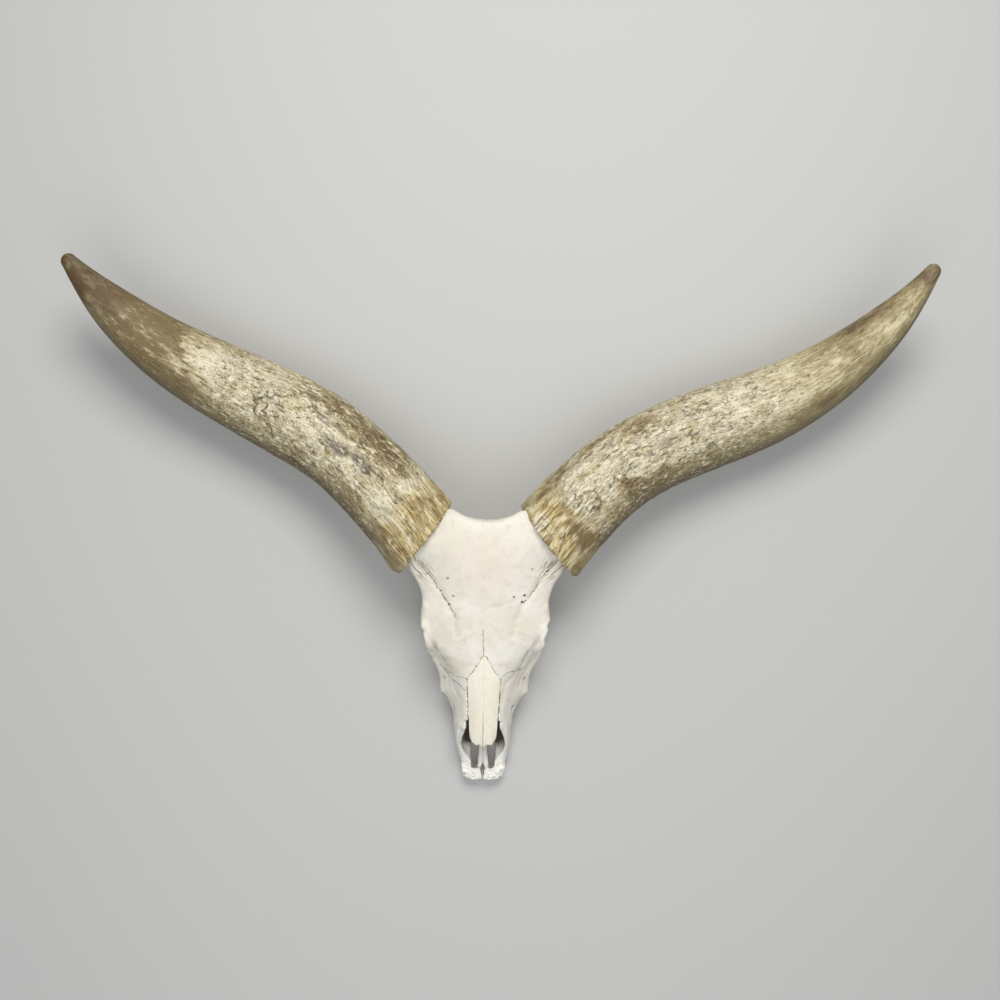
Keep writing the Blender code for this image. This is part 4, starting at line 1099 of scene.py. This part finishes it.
def horn_rows(horn, side, seed):
    """Rows of a sheath from the floor of its socket, out over its lip and along to its tip, and what each
    corner keeps for its finish: its place on a straightened horn, its marks and its zones.

    A corner lies its ring's radius plus the relief away from the centre line. The relief is long fibres and
    torn layers near the mouth, flakes with steep edges over the first half, slow rings of growth, a little
    swell, and the horn's own holes and cracks."""
    centre, ahead, size, along = horn_rings(horn)
    length = horn["length"]
    level = np.cross(ahead, (0, 0, 1))
    level /= np.linalg.norm(level, axis=1)[:, None]
    up = np.cross(level, ahead)
    turn = np.linspace(0, 2 * math.pi, HORN_SIDES, endpoint=False)
    cosine, sine = np.cos(turn), np.sin(turn)
    wide = np.maximum(size, LEAST_WIDE)[:, None]
    straight = stacked(wide * cosine, wide * sine, along[:, None])
    spots = straight.reshape(-1, 3) * MM + seed

    def grown(across, lengthwise, number):
        return mottle(spots, (across, across, lengthwise), number).reshape(straight.shape[:2])

    s = along[:, None]
    fibres = 0.6 * grown(5.5, 40, 61) + 0.4 * grown(2.8, 26, 62)
    torn = np.clip(4 * grown(9, 20, 74) + 1.5 * grown(4, 9, 75), -1, 1)
    flakes = 0.9 * grown(11, 30, 63) + 0.6 * grown(5, 13, 64) + 0.35 * grown(2.6, 6, 65)
    flaked = np.clip(flakes * 3, -1, 1)
    rings = 0.3 * grown(160, 15, 66) + 0.25 * grown(90, 7, 67)
    swell = grown(75, 85, 68)
    degrees = np.degrees((turn + math.pi / 2) % (2 * math.pi) - math.pi / 2)[None]
    # The lower edge band is partly olive horn and partly painted shade, on the side turned away from the key
    # light; it also takes cream away there.
    lower = np.clip(ramp(degrees, 74, 14) + 0.15 * grown(30, 60, 76), 0, 1) * ramp(degrees, -88, -12)
    upper = ramp(degrees, 112, 160) * np.interp(s, *np.transpose(horn["upper"]))
    upper = np.clip(upper + 0.1 * grown(30, 60, 78), 0, 1) * ramp(degrees, 268, 200)
    frayed = ramp(s, 75, 20)
    scurfy = ramp(s, 30, 70) * ramp(s, horn["pale_to"] - 40, 330) * (1 - 0.6 * lower)
    worn = ramp(s, 400, 560)
    relief = fibres * (0.22 + 0.75 * frayed - 0.1 * worn) + 0.35 * torn * frayed + 0.42 * flaked * scurfy
    relief += rings * (1 - 0.8 * worn) + 0.8 * swell * (1 - frayed) - 0.5

    fuzz, fine_fuzz = grown(15, 22, 72), grown(6, 9, 73)
    arc = np.radians(degrees) * np.maximum(size, LEAST_ROUND)[:, None]
    pale = (0.25 + 0.35 * ramp(s, 20, 80)) * ramp(s + 45 * fuzz, horn["pale_to"] + 60, horn["pale_to"] - 160)
    pale = pale * (1 - 0.5 * np.maximum(lower, upper)) * np.ones_like(fuzz)
    marks = horn_marks(horn, s, arc, size, pale, fuzz, fine_fuzz)
    contour = bell(flakes, 0.10) * np.clip(0.3 + 1.6 * grown(12, 18, 79), 0, 0.85)
    dark = contour * np.maximum(scurfy, 0.5 * frayed)
    dark = np.maximum(dark, 0.55 * bell(s, 2.0) * np.clip(0.7 + 0.6 * fuzz + 0.6 * fine_fuzz, 0.1, 1))
    warped = arc + 2.0 * fine_fuzz + 1.5 * grown(2.6, 4, 77)
    for hole_s, around, hole_radius, hole_depth in horn["holes"]:
        off = np.hypot(s - hole_s, warped - math.radians(around) * size[:, None])
        relief -= hole_depth * bell(off, hole_radius)
        dark = np.maximum(dark, bell(off, hole_radius * 0.9))
    come_and_go = np.clip(0.75 + 0.9 * fuzz + 1.1 * fine_fuzz, 0.1, 1)
    for crack_depth, half_width, share_dark, path in horn["cracks"]:
        off = crack_distance(path, s, warped, along, size)
        relief += crack_depth * (0.35 * bell(off - 3, 2) - bell(off, 1.3 * half_width)) * come_and_go
        dark = np.maximum(dark, share_dark * bell(off, half_width * 1.25) * come_and_go)
    ragged = 2.4 * grown(5, 400, 69) + 2.0 * grown(2.0, 400, 70) + 2.0 * grown(22, 400, 71)
    corner = horn["worn_corner"] * bell(degrees, 16) - 3.5 * bell(degrees - 30, 21)
    pulled = np.clip(1 - np.abs(s + 1) / 12, 0, 1) * ragged + corner * ramp(np.abs(s + 1), 36, 3)
    relief = np.where(s >= 0, relief, 0.25 * relief * (s > -8)) * np.clip(size[:, None] / 22, 0.15, 1)
    reach = size[:, None] + relief
    rows = centre[:, None] + ahead[:, None] * pulled[..., None]
    rows = rows + level[:, None] * (reach * cosine)[..., None] + up[:, None] * (reach * sine)[..., None]
    rows[..., 2] = np.maximum(rows[..., 2], 0)
    rows = HEAD + rows * MM * (side, 1, 1)

    fibrous = ramp(s + 14 * fuzz, 78, 30)
    tipped = ramp(s + 0.13 * horn["tip_run"] * fuzz, length - horn["tip_run"], length - 0.2 * horn["tip_run"])
    smooth = np.clip(worn + 0.5 * lower * ramp(s, 90, 130), 0, 1)
    zones = stacked(fibrous, smooth, dark)
    ends = stacked(upper - lower, tipped, torn * frayed + flaked * scurfy)
    return rows, {"straight": straight * MM, "marks": marks, "zones": zones, "ends": ends}


def horn_keratin(name, tan, tip):
    """Horn keratin, raw and weathered, never polished: fibrous honey at the mouth, then scurfy cream that
    flakes off brown horn, with grey stains, then smooth olive-tan with pale dashes and a low gloss, darker
    along the edges and at the tip. Along the lower edge the olive and dark are partly the horn's own and
    partly painted shade, on the side turned away from the key light. Its patterns follow the straightened
    horn, so that the fibres run along it, and they are about twice as coarse as real fibres, which would not
    show."""
    material, tree, shader = new_material(name)
    wanted = ("straight", "marks", "zones", "ends")
    place, *kept = [node(tree, "Attribute", {}, attribute_name=name).outputs["Vector"] for name in wanted]
    pale, brown, grey = node(tree, "SeparateXYZ", {0: kept[0]}).outputs
    fibrous, smooth, dark = node(tree, "SeparateXYZ", {0: kept[1]}).outputs
    side, tipped, lifted = node(tree, "SeparateXYZ", {0: kept[2]}).outputs
    grown = {}
    for kind, across, lengthwise, detail, twist in (
        ("fibre", 1.8, 30, 4.0, 0.15),
        ("strand", 3.2, 28, 6.0, 0.6),
        ("ring", 26, 2.6, 5.0, 0.6),
        ("streak", 6, 62, 5.0, 0.5),
        ("dash", 4.2, 20, 4.0, 0.4),
        ("patch", 15, 32, 9.0, 0.6),
        ("flake", 5.4, 12, 8.0, 0.8),
        ("crumb", 2.5, 5.0, 6.0, 0.5),
        ("cloud", 48, 75, 3.0, 0.0),
    ):
        scale = (1000 / across, 1000 / across, 1000 / lengthwise)
        spread = node(tree, "Mapping", {0: place, 3: scale}).outputs[0]
        noise = {"Vector": spread, "Scale": 1.0, "Detail": detail, "Roughness": 0.66, "Distortion": twist}
        grown[kind] = node(tree, "TexNoise", noise).outputs[0]
    fibre, strand, ring, streak, dash, patch, flake, crumb, cloud = grown.values()

    # How light the surface is, from 0 to 2.6: one sum for the scurfy half and one for the smooth half
    # lower reads back the lower edge band, which is partly painted shade
    upper, lower = mask(tree, side, 0, 1), mask(tree, [(side, -1)], 0, 1)
    stains = [(brown, -0.7), (upper, -0.5), (lower, -0.5), (cloud, 0.7), (pale, 0.7)]
    scurfy = [(patch, 1.4), (flake, 2.0), (crumb, 1.0), (streak, 0.6), (lifted, 0.22)] + stains
    sleek = [(streak, 1.6), (dash, 0.9), (fibre, 0.7), (patch, 0.5), (cloud, 0.6)] + stains
    scurfy_level, sleek_level = mask(tree, scurfy, 1.70, 4.30, 2.6), mask(tree, sleek, 1.55, 4.15, 2.6)
    level = node(tree, "Mix", {0: smooth, 2: scurfy_level, 3: sleek_level}).outputs[0]
    sight = mask(tree, [(smooth, -1)], -1, -0.3)
    lined = [(flake, 1), (crumb, 0.35)]
    gate = mask(tree, [(patch, 1), (sight, 0.3)], 0.76, 0.84, sight)
    colour = layered(tree, HORN_TAN, [
        (tan, smooth),
        (HORN_PALE, level, 0.95, 1.35, 0.85),
        (HORN_CREAM, level, 1.30, 1.85, 0.95),
        (HORN_BROWN, level, 0.95, 0.45, 0.75),
        (HORN_DARK, level, 0.60, 0.15, 0.7),
        (HORN_PALE, [(strand, 1), (crumb, 0.8)], 0.98, 1.08, 0.55, sight),
        (HORN_BROWN, [(strand, 1), (crumb, 0.8)], 0.86, 0.78, 0.5, sight),
        (HORN_DARK, [(strand, 1), (flake, 0.7)], 0.77, 0.67, 0.7),
        # olive along the lower edge: partly the horn's own olive, partly painted shade
        (HORN_OLIVE, lower, 0.1, 1.0, 0.5),
        (HORN_GREY, [(grey, 1), (flake, 1.4), (crumb, 0.8)], 1.40, 1.90, 0.8),
        (HORN_DARK, [(grey, 1), (flake, -1.6), (crumb, -1.2)], -0.55, -0.15, 0.7),
        # dark along the lower edge: partly the horn's own darkening, partly painted shade
        (HORN_DARK, [(lower, 1), (streak, 0.4)], 0.70, 1.15, 0.65),
        (HORN_LIGHT, lined, 0.75, 0.80, 0.65, sight),
        (HORN_BROWN, lined, 0.605, 0.565, 0.65, sight),
        (HORN_DARK, lined, 0.555, 0.520, 0.8, sight),
        (HORN_DARK, [(fibre, 1), (dash, 0.5)], 0.66, 0.56, 0.5, smooth),
        (HORN_LIGHT, [(fibre, 1), (dash, 0.5)], 0.86, 0.98, 0.35, smooth),
        (HORN_CRACK, lined, 0.715, 0.690, 0.55, mask(tree, lined, 0.635, 0.660, 1, gate)),
    ])
    honey = layered(tree, HORN_HONEY, [
        (HORN_STRAW, [(strand, 1), (patch, 0.8)], 0.84, 0.94),
        (HORN_CREAM, [(strand, 1), (patch, 1)], 1.04, 1.14, 0.9),
        (HORN_CREAM, [(pale, 1), (strand, 1)], 1.15, 1.45, 0.85),
        (HORN_BROWN, [(strand, 1), (patch, 0.8), (brown, -0.15)], 0.84, 0.74, 0.9),
        (HORN_BROWN, [(ring, 1), (flake, 0.8)], 0.83, 0.74, 0.6),
        (HORN_RUST, [(fibre, 1), (dash, 0.4)], 0.60, 0.50, 0.6),
        (HORN_BROWN, [(lifted, -1)], 0.2, 1, 0.5),
        # olive along the lower edge of the fibrous mouth: partly the horn's own, partly painted shade
        (HORN_OLIVE, [(lower, 1), (patch, 1)], 0.85, 1.4, 0.6),
        (HORN_BROWN, [(brown, 1), (flake, 1.2), (strand, 1)], 1.45, 2.25, 0.9),
        (HORN_DARK, [(strand, 1), (flake, 0.8)], 0.78, 0.68, 0.9),
    ])
    tip = layered(tree, tip, [
        (HORN_PALE, [(patch, 1), (cloud, 0.8), (streak, 0.6)], 1.15, 1.50, 0.5),
        (HORN_RUST, [(patch, 1), (cloud, 0.8), (flake, 0.5)], 1.22, 0.98, 0.6),
        (HORN_DARK, [(strand, 1), (flake, 0.7)], 0.86, 0.66, 0.5),
    ])
    colour = layered(tree, colour, [
        (honey, [(fibrous, 1), (patch, 0.9)], 0.72, 1.05),
        (tip, [(tipped, 1), (streak, 0.7), (flake, 0.3)], 0.70, 1.35, 0.92),
        (HORN_CRACK, dark),
    ])
    relief = mask(tree, [(fibre, 0.6), (flake, 1.5), (crumb, 1.2)], 0, 4, 4, sight)
    relief = mask(tree, [(relief, 1), (fibre, 0.9), (streak, 0.5), (ring, 0.5)], 0, 6, 6)
    raised = node(tree, "Bump", {"Strength": 0.8, "Distance": 1.4 * MM, "Height": relief}).outputs[0]
    roughness = mask(tree, [(smooth, -0.2), (flake, 0.3)], -0.65, 0.35)
    fill(tree, shader, {"Base Color": colour, "Normal": raised, "Roughness": roughness, "IOR": 1.54})
    return material


for number, (name, horn) in enumerate(HORNS.items()):
    rows, kept = horn_rows(horn, SIDES[name], number * 0.7)
    kept["straight"] = kept["straight"] + (0, 0, number * 0.9)
    sheath = closed_skin("horn_" + name + "_sheath", rows)
    for kind, values in kept.items():
        paint(sheath.data, kind, *with_ends(values).T)
    sheath.data.materials.append(horn_keratin("weathered horn keratin, " + name, horn["tan"], horn["tip"]))
    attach(sheath, "root")
    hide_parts("horn_" + name)

# Floor, light and camera: a plain pale board to lie on, and soft studio light that comes mostly from behind
# the poll and from above. The camera is where the photograph's was, two metres over the skull.
CAMERA_PLACE = (0.00685, 0.04485, 2.053)
CAMERA_ROLL = 1.2  # degrees
CAMERA_LENS, CAMERA_SENSOR = 41.4, 36  # mm
FLOOR_REACH = 6.0
BOARD_GREY = "#BCBCBA"
SKY_WHITE = "#F2F4F7"
LAMP_AIM = (0, 0, 0.1)
LAMPS = [  # name, place, size, watts, colour
    ("key", (0.15, 1.55, 2.25), 1.3, 52, "#FFFDF8"),
    ("fill", (0.0, -1.2, 2.3), 2.0, 26, "#FBFCFF"),
]

floor_mesh = bpy.data.meshes.new("floor")
corners = [(x * FLOOR_REACH, y * FLOOR_REACH, 0) for x, y in ((-1, -1), (1, -1), (1, 1), (-1, 1))]
floor_mesh.from_pydata(corners, [], [(0, 1, 2, 3)])
floor = new_object("floor", floor_mesh)
board, tree, shader = new_material("pale matt board")
fill(tree, shader, {"Base Color": BOARD_GREY, "Roughness": 0.9})
floor_mesh.materials.append(board)

for name, place, size, watts, shade in LAMPS:
    lamp = bpy.data.lights.new(name, "AREA")
    lamp.shape = "DISK"
    lamp.size = size
    lamp.energy = watts
    lamp.color = linear(shade)[:3]
    holder = new_object(name, lamp)
    holder.location = place
    holder.rotation_euler = (Vector(LAMP_AIM) - Vector(place)).to_track_quat("-Z", "Y").to_euler()

world = bpy.data.worlds.new("studio")
world.use_nodes = True
fill(world.node_tree, world.node_tree.nodes["Background"], {"Color": SKY_WHITE, "Strength": 0.40})
bpy.context.scene.world = world
bpy.context.scene.view_settings.view_transform = "Standard"

camera = new_object("camera", bpy.data.cameras.new("camera"))
camera.data.lens = CAMERA_LENS
camera.data.sensor_width = CAMERA_SENSOR
camera.location = CAMERA_PLACE
camera.rotation_euler = (0, 0, math.radians(CAMERA_ROLL))
bpy.context.scene.camera = camera
